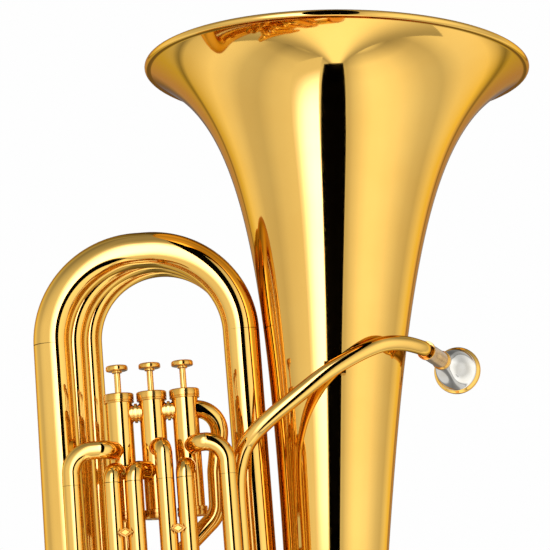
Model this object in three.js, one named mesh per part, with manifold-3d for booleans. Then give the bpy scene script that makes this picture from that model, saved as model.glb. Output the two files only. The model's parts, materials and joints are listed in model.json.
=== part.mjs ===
// A three-valve upright tuba, three-quarter size, with its slides, pistons and water key.
// Millimetres, +Z up. The bell stands on the Z axis, the branches lie to its left (-X),
// and the valves and slides are in front (-Y). All the branches, valves and slides lean
// together by branchLean, so most pieces are drawn in one leaning group, whose own axes are
// "across" (X), "depth" (Y) and "up the branch" (Z).

import * as THREE from 'three';
import { mergeVertices } from 'three/addons/utils/BufferGeometryUtils.js';
import Module from 'manifold-3d';

const wasm = await Module();
wasm.setup();

// ---------------------------------------------------------------- driving sizes

const gap = 0.3; // clearance between pieces that meet
const branchLean = THREE.MathUtils.degToRad(4.9);
const arcStep = THREE.MathUtils.degToRad(18);

// Bell: a table of [share of the length up from the foot, share of the rim radius].
const rimHeight = 949;
const rimRadius = 187;
const bellWall = 0.9;
const beadHeight = 7;
const beadWidth = 6.5;
const bellFootHeight = 160;
const bellShape = [
  [0.000, 0.1845], [0.102, 0.196], [0.2295, 0.215], [0.331, 0.2385], [0.411, 0.265],
  [0.517, 0.307], [0.627, 0.356], [0.738, 0.415], [0.813, 0.471], [0.8685, 0.548],
  [0.906, 0.622], [0.938, 0.699], [0.9535, 0.760], [0.968, 0.806], [0.980, 0.857],
  [0.9897, 0.930],
];

// Bows and branches. Across, depth and height are in the leaning group.
const branchWall = 0.8;
const branchClearance = 2.2;
const bellToBranch = 1.4; // clear distance between the bell and the large branch
const largeSpacing = 179.5;
const largeBowTop = 779.7;
const largeBowRadius = 85;
const largeRadius = { innerFoot: 16.6, innerTop: 17.4, top: 17.2, outerTop: 18.4, outerFoot: 23 };
const outerLegSplay = 4; // how far the outer leg's foot comes in towards the bell
const middleSpacing = 164;
const middleBowTop = 778.8;
const middleRadius = { inner: 14, outer: 15 };
const smallInset = 2; // the small branch's inner leg stands this much further from the bell
const smallSpacing = 148;
const smallBowTop = 777;
const smallRadius = { inner: 12.2, outer: 13.2 };
const lowerBowHeight = 325; // where the middle and large branches meet their lower bow
const smallLowerBowHeight = 290;
const ferruleRise = 0.9;
const ferruleLength = 14;

// Bottom bow and its guard
const bottomTubeRadius = 29;
const guardThickness = 1.2;
const guardSpread = THREE.MathUtils.degToRad(50);

// Valves
const casingRadius = 12;
const casingWall = 0.8;
const valveBridge = 6.3; // clear distance between two casings
const middleValveAcross = -118.5;
const valveDepth = -48;
const casingFoot = 521.5;
const casingTop = 634;
const capWall = 1.7;
const capTop = 2;
const capSkirt = 6.5;
const pistonWall = 1.2;
const portRadius = 6.6;
const pistonFoot = 553;
const pistonTop = 626;
const stemRadius = 2.95;
const buttonRadius = 10.2;
const buttonTop = 662.9;
const buttonThickness = 5.6;
const springWire = 0.6;
const springRadius = 7.5;
const springTurns = 5;

// Valve slides. Every outer tube hangs from a knuckle that comes out of a valve's front.
const slideRadius = 8.3;
const slideWall = 0.65;
const slideFit = 0.3; // radial clearance of an inner slide leg
const slideTop = 552.5; // where the knuckles meet the outer tubes
const knuckleNeck = 7.5; // straight stretch between a casing and a knuckle's bend
const knuckleBend = slideRadius + 2.2;
const slideDepth = valveDepth - casingRadius - knuckleNeck - knuckleBend;
const bandRise = 1.2; // the band round each bridge between two valves
const thirdToSecondGap = 3.1; // clear distance between the slides' neighbouring tubes
const secondToFirstGap = 1.6;
const lowerPort = slideTop + gap + knuckleBend;
const upperPort = lowerPort + 2 * slideRadius + 3.4;
const entryPort = casingTop + gap - capSkirt - 0.8 - slideRadius - bandRise;
const thirdSlide = { spacing: 36.2, foot: 250, insertion: 150 };
const secondSlide = { spacing: 28.3, foot: 458, insertion: 70 };
const firstSlide = { spacing: 38.6, foot: 340, insertion: 120 };
const secondSlideOffset = 8.7; // second slide's right tube, right of its valve
const slideStub = 16; // straight part of a crook below the outer tubes

// Main tuning slide
const exitAcross = -153;
const exitDepth = 14;
const exitPort = 600;
const exitRadius = 8.5;
const tuningRadius = 10.8;
const tuningWall = 0.5;
const tuningFit = 0.85; // radial clearance of the crook's legs in their sleeves
const tuningFoot = 450; // lower end of the two sleeves
const tuningSleeve = 100;
const tuningInsertion = 75;
const tuningStub = 55; // straight leg of the tuning crook in sight

// Mouthpipe
const mouthpipeRadius = { receiver: 6.9, lower: 7.9 };
const mouthpipeWall = 0.7;
const mouthpipeFoot = 372;
const mouthpipeBowDrop = 40;
const bellClearance = 5.5; // between the bell and the mouthpipe that crosses it
const receiverRadius = 8.1;
const receiverLength = 62;
const mouthpieceAxis = new THREE.Vector3(0.325, 0.945, -0.023).normalize();
const mouthpieceLength = 88;
const mouthpieceInsertion = 25;
const mouthpieceRim = 23.4;
const shankRadius = 6.3;

// Braces and water key
const bracePlate = { width: 14.4, height: 9.2, thickness: 1.7 };
const braceHeight = 507;
const bellBraceHeight = 425;
const legBraceHeight = 488;
const rodRadius = 2.8;
const keyHeight = 402;
const keyReach = 20; // water key pivot above its nipple
const keyWidth = 4.4;

// ---------------------------------------------------------------- materials

const brass = (roughness) => new THREE.MeshStandardMaterial({ color: 0xd9a441, metalness: 1, roughness });
const lacquer = brass(0.12);
const satinBrass = brass(0.35);
const silver = new THREE.MeshStandardMaterial({ color: 0xd8d8d4, metalness: 1, roughness: 0.1 });
const nickel = new THREE.MeshStandardMaterial({ color: 0xb9b7ad, metalness: 1, roughness: 0.25 });
const steel = new THREE.MeshStandardMaterial({ color: 0x8d8f92, metalness: 1, roughness: 0.3 });

// ---------------------------------------------------------------- closed solids

function signedVolume(geometry) {
  const p = geometry.attributes.position;
  const index = geometry.index.array;
  const [a, b, c] = [new THREE.Vector3(), new THREE.Vector3(), new THREE.Vector3()];
  let volume = 0;
  for (let i = 0; i < index.length; i += 3) {
    a.fromBufferAttribute(p, index[i]);
    b.fromBufferAttribute(p, index[i + 1]);
    c.fromBufferAttribute(p, index[i + 2]);
    volume += a.dot(b.cross(c)) / 6;
  }
  return volume;
}

// Shared vertices, no degenerate triangles, faces pointing out.
function closed(geometry) {
  const bare = geometry.clone();
  bare.deleteAttribute('normal');
  bare.deleteAttribute('uv');
  const merged = mergeVertices(bare, 1e-4);
  const old = merged.index.array;
  const kept = [];
  for (let i = 0; i < old.length; i += 3) {
    const [a, b, c] = [old[i], old[i + 1], old[i + 2]];
    if (a !== b && b !== c && c !== a) kept.push(a, b, c);
  }
  merged.setIndex(kept);
  if (signedVolume(merged) < 0) {
    for (let i = 0; i < kept.length; i += 3) {
      [kept[i + 1], kept[i + 2]] = [kept[i + 2], kept[i + 1]];
    }
    merged.setIndex(kept);
  }
  return merged;
}

function toSolid(geometry) {
  const shape = closed(geometry);
  const vertProperties = new Float32Array(shape.attributes.position.array);
  const triVerts = new Uint32Array(shape.index.array);
  return new wasm.Manifold(new wasm.Mesh({ numProp: 3, vertProperties, triVerts }));
}

function fromSolid(solid) {
  const { vertProperties, triVerts } = solid.getMesh();
  const geometry = new THREE.BufferGeometry();
  geometry.setAttribute('position', new THREE.BufferAttribute(new Float32Array(vertProperties), 3));
  geometry.setIndex(new THREE.BufferAttribute(new Uint32Array(triVerts), 1));
  return geometry;
}

function cut(body, ...tools) {
  return fromSolid(tools.reduce((rest, tool) => rest.subtract(toSolid(tool)), toSolid(body)));
}

function join(first, ...others) {
  return fromSolid(others.reduce((sum, other) => sum.add(toSolid(other)), toSolid(first)));
}

// A solid of revolution about +Z from a closed outline of [radius, height] points.
function turned(outline, sides) {
  const points = outline.map(([radius, height]) => new THREE.Vector2(radius, height));
  points.push(points[0].clone());
  return new THREE.LatheGeometry(points, sides).rotateX(Math.PI / 2);
}

// A round bar between two points.
function bar(from, to, radius, sides) {
  const along = to.clone().sub(from);
  const upright = new THREE.Vector3(0, 1, 0);
  const turn = new THREE.Quaternion().setFromUnitVectors(upright, along.clone().normalize());
  const middle = from.clone().add(to).multiplyScalar(0.5);
  const shape = new THREE.CylinderGeometry(radius, radius, along.length(), sides);
  return shape.applyQuaternion(turn).translate(middle.x, middle.y, middle.z);
}

// ---------------------------------------------------------------- routes and tubes

const point = (x, y, z) => new THREE.Vector3(x, y, z);

// A route is a list of stations, each a point and a tangent. Corners become arcs.
function bentRoute(corners, bendRadii) {
  const last = corners.length - 1;
  const heading = (i) => corners[i + 1].clone().sub(corners[i]).normalize();
  const route = [{ at: corners[0], tangent: heading(0) }];
  for (let i = 1; i < last; i++) {
    const arriving = heading(i - 1);
    const leaving = heading(i);
    const turn = arriving.angleTo(leaving);
    const radius = bendRadii[i - 1];
    const axis = arriving.clone().cross(leaving).normalize();
    const inward = axis.clone().cross(arriving);
    const centre = corners[i].clone()
      .addScaledVector(arriving, -radius * Math.tan(turn / 2))
      .addScaledVector(inward, radius);
    const steps = Math.max(2, Math.ceil(turn / arcStep));
    for (let k = 0; k <= steps; k++) {
      const angle = (turn * k) / steps;
      const spoke = inward.clone().multiplyScalar(-radius).applyAxisAngle(axis, angle);
      const tangent = arriving.clone().applyAxisAngle(axis, angle);
      route.push({ at: centre.clone().add(spoke), tangent });
    }
  }
  route.push({ at: corners[last], tangent: heading(last - 1) });
  return route;
}

function smoothRoute(points, steps) {
  const curve = new THREE.CatmullRomCurve3(points, false, 'centripetal');
  const route = [];
  for (let i = 0; i <= steps; i++) {
    route.push({ at: curve.getPointAt(i / steps), tangent: curve.getTangentAt(i / steps) });
  }
  return route;
}

// Adds the distance along the route and a side direction that never twists.
function measured(route) {
  const apart = route.filter((station, i) => i === 0 || station.at.distanceTo(route[i - 1].at) > 1e-3);
  let side = new THREE.Vector3(0, 1, 0);
  if (Math.abs(apart[0].tangent.y) > 0.9) side = new THREE.Vector3(0, 0, 1);
  let before = null;
  let distance = 0;
  return apart.map(({ at, tangent }) => {
    if (before) {
      distance += at.distanceTo(before.at);
      const turn = new THREE.Quaternion().setFromUnitVectors(before.tangent, tangent);
      side = side.clone().applyQuaternion(turn);
    }
    side = side.clone().addScaledVector(tangent, -side.dot(tangent)).normalize();
    before = { at, tangent, side, up: tangent.clone().cross(side), distance };
    return before;
  });
}

const lengthOf = (route) => measured(route).at(-1).distance;

function stationAt(line, distance) {
  const next = Math.max(1, line.findIndex((station) => station.distance >= distance - 1e-6));
  const [a, b] = [line[next - 1], line[next]];
  const share = (distance - a.distance) / (b.distance - a.distance);
  const mix = (key) => a[key].clone().lerp(b[key], share);
  return { at: mix('at'), side: mix('side').normalize(), up: mix('up').normalize() };
}

// Ring places and radii along a line for a table of [distance, radius]; equal distances step.
function ringsAlong(line, table) {
  const rings = [];
  for (let i = 0; i < table.length; i++) {
    const [distance, radius] = table[i];
    rings.push({ ...stationAt(line, distance), radius });
    if (i === table.length - 1) break;
    const [nextDistance, nextRadius] = table[i + 1];
    for (const station of line) {
      if (station.distance <= distance + 0.5 || station.distance >= nextDistance - 0.5) continue;
      const share = (station.distance - distance) / (nextDistance - distance);
      rings.push({ ...station, radius: radius + (nextRadius - radius) * share });
    }
  }
  return rings;
}

// A hollow tube along a route: tables of [distance, radius] outside and inside.
function tube(route, outside, inside, sides) {
  const line = measured(route);
  const rings = [...ringsAlong(line, outside), ...ringsAlong(line, inside).reverse()];
  return closed(skinned(rings, sides));
}

// A solid rod along a route: its inside is a ring of no size at all.
function rod(route, radius, sides) {
  const line = measured(route);
  const end = line.at(-1).distance;
  const rings = ringsAlong(line, [[0, 0], [0, radius], [end, radius], [end, 0]]);
  return closed(skinned(rings, sides, false));
}

function skinned(rings, sides, around = true) {
  const positions = [];
  for (const { at, side, up, radius } of rings) {
    for (let k = 0; k < sides; k++) {
      const angle = (2 * Math.PI * k) / sides;
      const rim = at.clone()
        .addScaledVector(side, radius * Math.cos(angle))
        .addScaledVector(up, radius * Math.sin(angle));
      positions.push(rim.x, rim.y, rim.z);
    }
  }
  const index = [];
  rings.forEach((_, i) => {
    if (!around && i === rings.length - 1) return;
    const next = (i + 1) % rings.length;
    for (let k = 0; k < sides; k++) {
      const beside = (k + 1) % sides;
      const [a, b, c, d] = [i * sides + k, i * sides + beside, next * sides + beside, next * sides + k];
      index.push(a, b, c, a, c, d);
    }
  });
  const geometry = new THREE.BufferGeometry();
  geometry.setAttribute('position', new THREE.BufferAttribute(new Float32Array(positions), 3));
  geometry.setIndex(index);
  return geometry;
}

// A tapered branch with an optional raised ferrule at either end.
function branch(route, from, to, wall, sides, { ferruleAtStart = false, ferruleAtEnd = false } = {}) {
  const length = lengthOf(route);
  const radius = (distance) => from + ((to - from) * distance) / length;
  const outside = [];
  if (ferruleAtStart) {
    outside.push([0, from + ferruleRise], [ferruleLength, radius(ferruleLength) + ferruleRise]);
    outside.push([ferruleLength, radius(ferruleLength)]);
  } else {
    outside.push([0, from]);
  }
  if (ferruleAtEnd) {
    const edge = length - ferruleLength;
    outside.push([edge, radius(edge)], [edge, radius(edge) + ferruleRise], [length, to + ferruleRise]);
  } else {
    outside.push([length, to]);
  }
  return tube(route, outside, [[0, from - wall], [length, to - wall]], sides);
}

// ---------------------------------------------------------------- scene graph

const leaning = new THREE.Group();
leaning.rotation.y = -branchLean;
const upright = new THREE.Group();
const tuba = new THREE.Group();
tuba.add(leaning, upright);

function piece(group, name, geometry, material) {
  const mesh = new THREE.Mesh(closed(geometry), material);
  mesh.name = name;
  group.add(mesh);
  return mesh;
}

leaning.updateMatrixWorld(true);
const fromLeaning = (across, depth, height) => leaning.localToWorld(point(across, depth, height));

// ---------------------------------------------------------------- bell and bottom bow

const bellLength = rimHeight - beadHeight / 2 - bellFootHeight;
const bellTable = bellShape.map(([up, out]) => point(rimRadius * out, bellFootHeight + bellLength * up, 0));
const bellCurve = new THREE.SplineCurve(bellTable.map(({ x, y }) => new THREE.Vector2(x, y)));
const bellFootRadius = bellTable[0].x;
const bellFoot = point(0, 0, bellFootHeight);

function bellRadiusAt(height) {
  const above = bellTable.findIndex((spot) => spot.y > height);
  const [low, high] = [bellTable[above - 1], bellTable[above]];
  return THREE.MathUtils.mapLinear(height, low.y, high.y, low.x, high.x);
}

// The large branch's inner leg stands as close to the bell as its two ends allow.
const besideBell = (height) => {
  const reach = bellRadiusAt(height) + bellToBranch + largeRadius.innerTop;
  return -(reach - height * Math.sin(branchLean)) / Math.cos(branchLean);
};
const largeInnerAcross = Math.min(besideBell(lowerBowHeight), besideBell(largeBowTop - largeBowRadius));
const middleInnerAcross = largeInnerAcross;
const smallInnerAcross = largeInnerAcross - smallInset;

const guardClearance = 2 * gap;
const bowAxisHeight = bottomTubeRadius + guardClearance + guardThickness;
const largeOuterAcross = largeInnerAcross - largeSpacing;
const legHead = fromLeaning(largeOuterAcross, 0, largeBowTop - largeBowRadius - gap);
const legFootGuide = fromLeaning(largeOuterAcross + outerLegSplay, 0, 0);
const legDown = legFootGuide.clone().sub(legHead).normalize();
const leftCorner = legHead.clone().addScaledVector(legDown, (bowAxisHeight - legHead.z) / legDown.z);
const rightCorner = point(0, 0, bowAxisHeight);
const leftTurn = legDown.angleTo(point(1, 0, 0));
const bottomSpan = leftCorner.distanceTo(rightCorner);
const bottomBowRadius = (0.98 * bottomSpan) / (1 + Math.tan(leftTurn / 2));
const legFoot = leftCorner.clone().addScaledVector(legDown, -bottomBowRadius * Math.tan(leftTurn / 2));

function bellGeometry() {
  const steps = 16;
  const outside = [];
  const inside = [];
  for (let i = 0; i <= steps; i++) {
    const spot = bellCurve.getPoint(i / steps);
    const along = bellCurve.getTangent(i / steps);
    outside.push([spot.x, i === 0 ? bellFoot.z + gap : spot.y]);
    const height = i === 0 ? bellFoot.z + gap : spot.y + along.x * bellWall;
    inside.push([spot.x - along.y * bellWall, height]);
  }
  const bead = [
    [rimRadius - 4, rimHeight - beadHeight], [rimRadius, rimHeight - beadHeight + 1.5],
    [rimRadius, rimHeight - 2], [rimRadius - 1.5, rimHeight],
    [rimRadius - beadWidth + 2, rimHeight], [rimRadius - beadWidth, rimHeight - 1.5],
  ];
  return turned([...outside, ...bead, ...inside.reverse()], 24);
}

piece(upright, 'bell', bellGeometry(), lacquer);

const bowRoute = bentRoute([legFoot, leftCorner, rightCorner, bellFoot], [bottomBowRadius, bottomBowRadius]);
const bowSkin = branch(bowRoute, largeRadius.outerFoot, bellFootRadius, branchWall, 14,
  { ferruleAtStart: true, ferruleAtEnd: true });
piece(upright, 'bottom_bow', bowSkin, lacquer);

// The guard is a curved plate round the outside of the bow's lowest part.
function guardGeometry() {
  const line = measured(bowRoute);
  const total = line.at(-1).distance;
  const strips = 6;
  const ring = 2 * (strips + 1);
  const covered = line.filter(({ distance }) => distance > 0.16 * total && distance < 0.84 * total);
  const depthwards = point(0, 1, 0);
  const positions = [];
  for (const { at, tangent, distance } of covered) {
    const bowRadius = THREE.MathUtils.lerp(largeRadius.outerFoot, bellFootRadius, distance / total);
    const skin = bowRadius + guardClearance;
    const outward = depthwards.clone().cross(tangent);
    for (let k = 0; k < ring; k++) {
      const outer = k <= strips;
      const step = outer ? k : ring - 1 - k;
      const angle = guardSpread * ((2 * step) / strips - 1);
      const radius = outer ? skin + guardThickness : skin;
      const spot = at.clone()
        .addScaledVector(outward, radius * Math.cos(angle))
        .addScaledVector(depthwards, radius * Math.sin(angle));
      positions.push(spot.x, spot.y, spot.z);
    }
  }
  const index = [];
  const lastRow = (covered.length - 1) * ring;
  for (let row = 0; row < lastRow; row += ring) {
    for (let k = 0; k < ring; k++) {
      const [a, b] = [row + k, row + ((k + 1) % ring)];
      index.push(a, b, b + ring, a, b + ring, a + ring);
    }
  }
  for (let k = 0; k < strips; k++) {
    const across = ring - 1 - k;
    index.push(k, across, across - 1, k, across - 1, k + 1);
    index.push(lastRow + k, lastRow + k + 1, lastRow + across - 1);
    index.push(lastRow + k, lastRow + across - 1, lastRow + across);
  }
  const geometry = new THREE.BufferGeometry();
  geometry.setAttribute('position', new THREE.BufferAttribute(new Float32Array(positions), 3));
  geometry.setIndex(index);
  return geometry;
}

piece(upright, 'bottom_bow_guard', guardGeometry(), nickel);

// ---------------------------------------------------------------- large branch

const outerLegRoute = bentRoute([legHead, legFoot.clone().addScaledVector(legDown, -gap)], []);
piece(upright, 'large_outer_leg',
  branch(outerLegRoute, largeRadius.outerTop, largeRadius.outerFoot, branchWall, 12), lacquer);

const largeBowFoot = largeBowTop - largeBowRadius;
const largeBowRoute = bentRoute([
  point(largeOuterAcross, 0, largeBowFoot), point(largeOuterAcross, 0, largeBowTop),
  point(largeInnerAcross, 0, largeBowTop), point(largeInnerAcross, 0, largeBowFoot),
], [largeBowRadius, largeBowRadius]);
const largeBowLength = lengthOf(largeBowRoute);
piece(leaning, 'large_top_bow', tube(largeBowRoute,
  [[0, largeRadius.outerTop], [largeBowLength / 2, largeRadius.top], [largeBowLength, largeRadius.innerTop]],
  [[0, largeRadius.outerTop - branchWall], [largeBowLength / 2, largeRadius.top - branchWall],
    [largeBowLength, largeRadius.innerTop - branchWall]], 12), lacquer);

const innerLegRoute = bentRoute([
  point(largeInnerAcross, 0, largeBowFoot - gap), point(largeInnerAcross, 0, lowerBowHeight),
], []);
piece(leaning, 'large_inner_leg',
  branch(innerLegRoute, largeRadius.innerTop, largeRadius.innerFoot, branchWall, 12), lacquer);

// ---------------------------------------------------------------- middle and small branches

const middleDepth = largeRadius.innerTop + middleRadius.outer + branchClearance;
const smallDepth = middleDepth + middleRadius.outer + smallRadius.outer;
const middleOuterAcross = middleInnerAcross - middleSpacing;
const smallOuterAcross = smallInnerAcross - smallSpacing;

function uTurn(left, leftDepth, right, rightDepth, ends, turnHeight, radius) {
  return bentRoute([
    point(left, leftDepth, ends[0]), point(left, leftDepth, turnHeight),
    point(right, rightDepth, turnHeight), point(right, rightDepth, ends[1]),
  ], [radius, radius]);
}

const middleRoute = uTurn(middleOuterAcross, middleDepth, middleInnerAcross, middleDepth,
  [lowerBowHeight, smallLowerBowHeight], middleBowTop, middleSpacing / 2 - 0.01);
piece(leaning, 'middle_branch',
  branch(middleRoute, middleRadius.outer, middleRadius.inner, branchWall, 10), lacquer);

const smallRoute = uTurn(smallOuterAcross, smallDepth, smallInnerAcross, smallDepth,
  [smallLowerBowHeight, tuningFoot], smallBowTop, smallSpacing / 2 - 0.01);
const smallLength = lengthOf(smallRoute);
const sleeveStart = smallLength - tuningSleeve;
const sleeveBore = tuningRadius - tuningWall;
piece(leaning, 'small_branch', tube(smallRoute,
  [[0, smallRadius.outer], [sleeveStart - 60, smallRadius.inner], [sleeveStart, tuningRadius],
    [smallLength - 12, tuningRadius], [smallLength - 12, tuningRadius + ferruleRise],
    [smallLength, tuningRadius + ferruleRise]],
  [[0, smallRadius.outer - branchWall], [sleeveStart - 60, smallRadius.inner - branchWall],
    [sleeveStart, sleeveBore], [smallLength, sleeveBore]], 12), lacquer);

// Lower bows join each branch to the next, from the back to the front.
function lowerBow(left, leftDepth, right, rightDepth, height, from, to) {
  const spacing = Math.hypot(right - left, rightDepth - leftDepth);
  const radius = spacing / 2 - 0.01;
  const bottom = height - gap - ferruleLength - radius;
  const route = uTurn(left, leftDepth, right, rightDepth, [height - gap, height - gap], bottom, radius);
  return branch(route, from, to, branchWall, 10, { ferruleAtStart: true, ferruleAtEnd: true });
}

piece(leaning, 'middle_lower_bow', lowerBow(middleOuterAcross, middleDepth, largeInnerAcross, 0,
  lowerBowHeight, middleRadius.outer, largeRadius.innerFoot), lacquer);
piece(leaning, 'small_lower_bow', lowerBow(smallOuterAcross, smallDepth, middleInnerAcross, middleDepth,
  smallLowerBowHeight, smallRadius.outer, middleRadius.inner), lacquer);

// ---------------------------------------------------------------- valves

const valveSpacing = 2 * casingRadius + valveBridge;
const valveAcross = [middleValveAcross + valveSpacing, middleValveAcross, middleValveAcross - valveSpacing];
const drillings = [[], [], []]; // per valve, the [from, towards] pairs of its ports
const pistonRadius = casingRadius - casingWall - gap;
const capRadius = casingRadius + gap + capWall;

const upAt = (across, depth) => (geometry) => geometry.translate(across, depth, 0);
const casingSolid = (valve) => upAt(valveAcross[valve], valveDepth)(
  turned([[0, casingFoot - 20], [casingRadius + gap, casingFoot - 20],
    [casingRadius + gap, casingTop + 20], [0, casingTop + 20]], 24));

// A tube that leaves a valve: it starts on the valve's axis and is cut to the casing's skin.
function portTube(name, corners, bends, radius, valves, sides = 8) {
  const route = bentRoute(corners, bends);
  const length = lengthOf(route);
  const bore = radius - slideWall;
  const skin = tube(route, [[0, radius], [length, radius]], [[0, bore], [length, bore]], sides);
  drillings[valves[0]].push([corners[0], corners[1]]);
  if (valves.length > 1) drillings[valves[1]].push([corners.at(-1), corners.at(-2)]);
  piece(leaning, name, cut(skin, ...valves.map(casingSolid)), lacquer);
}

// ---------------------------------------------------------------- valve slides

const tubeT4 = middleValveAcross + secondSlideOffset;
const tubeT3 = tubeT4 - secondSlide.spacing;
const tubeT2 = tubeT3 - 2 * slideRadius - thirdToSecondGap;
const tubeT1 = tubeT2 - thirdSlide.spacing;
const tubeT5 = tubeT4 + 2 * slideRadius + secondToFirstGap;
const tubeT6 = tubeT5 + firstSlide.spacing;

function shortKnuckle(name, valve, port, target) {
  const start = THREE.MathUtils.lerp(valveAcross[valve], target, 0.1);
  const corners = [
    point(start, valveDepth, port), point(target, slideDepth, port),
    point(target, slideDepth, slideTop + gap),
  ];
  portTube(name, corners, [knuckleBend - 0.2], slideRadius, [valve]);
}

function longKnuckle(name, valve, port, target, sweep) {
  const start = valveAcross[valve] + Math.sign(target - valveAcross[valve]) * 1.8;
  const corners = [
    point(start, valveDepth, port), point(start, slideDepth, port),
    point(target, slideDepth, port), point(target, slideDepth, slideTop + gap),
  ];
  portTube(name, corners, [knuckleBend, sweep], slideRadius, [valve]);
}

longKnuckle('third_slide_left_knuckle', 2, upperPort, tubeT1, 20);
shortKnuckle('third_slide_right_knuckle', 2, lowerPort, tubeT2);
shortKnuckle('second_slide_left_knuckle', 1, lowerPort, tubeT3);
shortKnuckle('second_slide_right_knuckle', 1, upperPort, tubeT4);
shortKnuckle('first_slide_left_knuckle', 0, lowerPort, tubeT5);
longKnuckle('first_slide_right_knuckle', 0, upperPort, tubeT6, 19);

const slideBore = slideRadius - slideWall;
const innerSlideRadius = slideBore - slideFit;

function slideTube(name, across, foot) {
  const route = bentRoute([point(across, slideDepth, slideTop), point(across, slideDepth, foot)], []);
  const length = slideTop - foot;
  const band = length - 9;
  const outside = [
    [0, slideRadius], [band, slideRadius], [band, slideRadius + 0.6], [length, slideRadius + 0.6],
  ];
  piece(leaning, name, tube(route, outside, [[0, slideBore], [length, slideBore]], 8), lacquer);
}

// Two inner legs joined by a bow as wide as the outer tubes.
function crook(name, left, right, foot, insertion, stub, innerRadius, bowRadius, sides) {
  const spacing = Math.hypot(right.x - left.x, right.y - left.y);
  const bend = spacing / 2 - 0.01;
  const turnHeight = foot - stub - bend;
  const top = foot + insertion;
  const route = bentRoute([
    point(left.x, left.y, top), point(left.x, left.y, turnHeight),
    point(right.x, right.y, turnHeight), point(right.x, right.y, top),
  ], [bend, bend]);
  const length = lengthOf(route);
  const shoulder = insertion + gap;
  const outside = [
    [0, innerRadius], [shoulder, innerRadius], [shoulder, bowRadius],
    [length - shoulder, bowRadius], [length - shoulder, innerRadius], [length, innerRadius],
  ];
  const bore = innerRadius - slideWall;
  piece(leaning, name, tube(route, outside, [[0, bore], [length, bore]], sides), lacquer);
}

function valveSlide(name, left, right, { foot, insertion }) {
  slideTube(`${name}_slide_left_tube`, left, foot);
  slideTube(`${name}_slide_right_tube`, right, foot);
  crook(`${name}_slide_crook`, point(left, slideDepth, 0), point(right, slideDepth, 0),
    foot, insertion, slideStub, innerSlideRadius, slideRadius, 8);
}

valveSlide('third', tubeT1, tubeT2, thirdSlide);
valveSlide('second', tubeT3, tubeT4, secondSlide);
valveSlide('first', tubeT5, tubeT6, firstSlide);

// ---------------------------------------------------------------- way in and way out of the valves

function bridge(name, fromValve, toValve) {
  const [left, right] = [valveAcross[toValve], valveAcross[fromValve]];
  const route = bentRoute([point(right, valveDepth, entryPort), point(left, valveDepth, entryPort)], []);
  const middle = (right - left) / 2;
  const radius = slideRadius;
  const outside = [
    [0, radius], [middle - 1.2, radius], [middle - 1.2, radius + bandRise],
    [middle + 1.2, radius + bandRise], [middle + 1.2, radius], [right - left, radius],
  ];
  const inside = [[0, radius - slideWall], [right - left, radius - slideWall]];
  drillings[fromValve].push([point(right, valveDepth, entryPort), point(left, valveDepth, entryPort)]);
  drillings[toValve].push([point(left, valveDepth, entryPort), point(right, valveDepth, entryPort)]);
  const skin = tube(route, outside, inside, 12);
  piece(leaning, name, cut(skin, casingSolid(fromValve), casingSolid(toValve)), lacquer);
}

bridge('first_to_second_bridge', 0, 1);
bridge('second_to_third_bridge', 1, 2);

const returnRadius = 8.2;
const returnFoot = point(middleValveAcross + 15, valveDepth + 22, mouthpipeFoot);
portTube('mouthpipe_return', [
  point(valveAcross[0], valveDepth, entryPort),
  point(valveAcross[0] + 33.7, valveDepth + 4, entryPort - 0.4),
  point(valveAcross[0] + 23.7, valveDepth + 14, 560), point(valveAcross[0] + 22.7, valveDepth + 20, 521),
  point(returnFoot.x, returnFoot.y, 487), returnFoot.clone().setZ(mouthpipeFoot + gap),
], [22, 30, 24, 22], returnRadius, [0], 10);

// The exit tube widens into the left sleeve of the tuning slide.
const exitCorners = [
  point(valveAcross[2] - 1.2, valveDepth, exitPort), point(exitAcross, exitDepth, exitPort),
  point(exitAcross, exitDepth, tuningFoot),
];
const exitRoute = bentRoute(exitCorners, [22]);
const exitLength = lengthOf(exitRoute);
const exitSleeve = exitLength - tuningSleeve;
drillings[2].push([exitCorners[0], exitCorners[1]]);
piece(leaning, 'valve_exit_tube', cut(tube(exitRoute,
  [[0, exitRadius], [exitSleeve - 12, exitRadius], [exitSleeve, tuningRadius],
    [exitLength - 12, tuningRadius], [exitLength - 12, tuningRadius + ferruleRise],
    [exitLength, tuningRadius + ferruleRise]],
  [[0, exitRadius - slideWall], [exitSleeve - 12, exitRadius - slideWall],
    [exitSleeve, sleeveBore], [exitLength, sleeveBore]], 12), casingSolid(2)), lacquer);

const tuningLegRadius = sleeveBore - tuningFit;
crook('tuning_slide_crook', point(exitAcross, exitDepth, 0), point(smallInnerAcross, smallDepth, 0),
  tuningFoot, tuningInsertion, tuningStub, tuningLegRadius, tuningLegRadius + 0.02, 12);

// ---------------------------------------------------------------- casings, caps, pistons

const drill = (from, towards, back, reach, radius) => {
  const way = towards.clone().sub(from).normalize();
  return bar(from.clone().addScaledVector(way, -back), from.clone().addScaledVector(way, reach), radius, 12);
};

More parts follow.
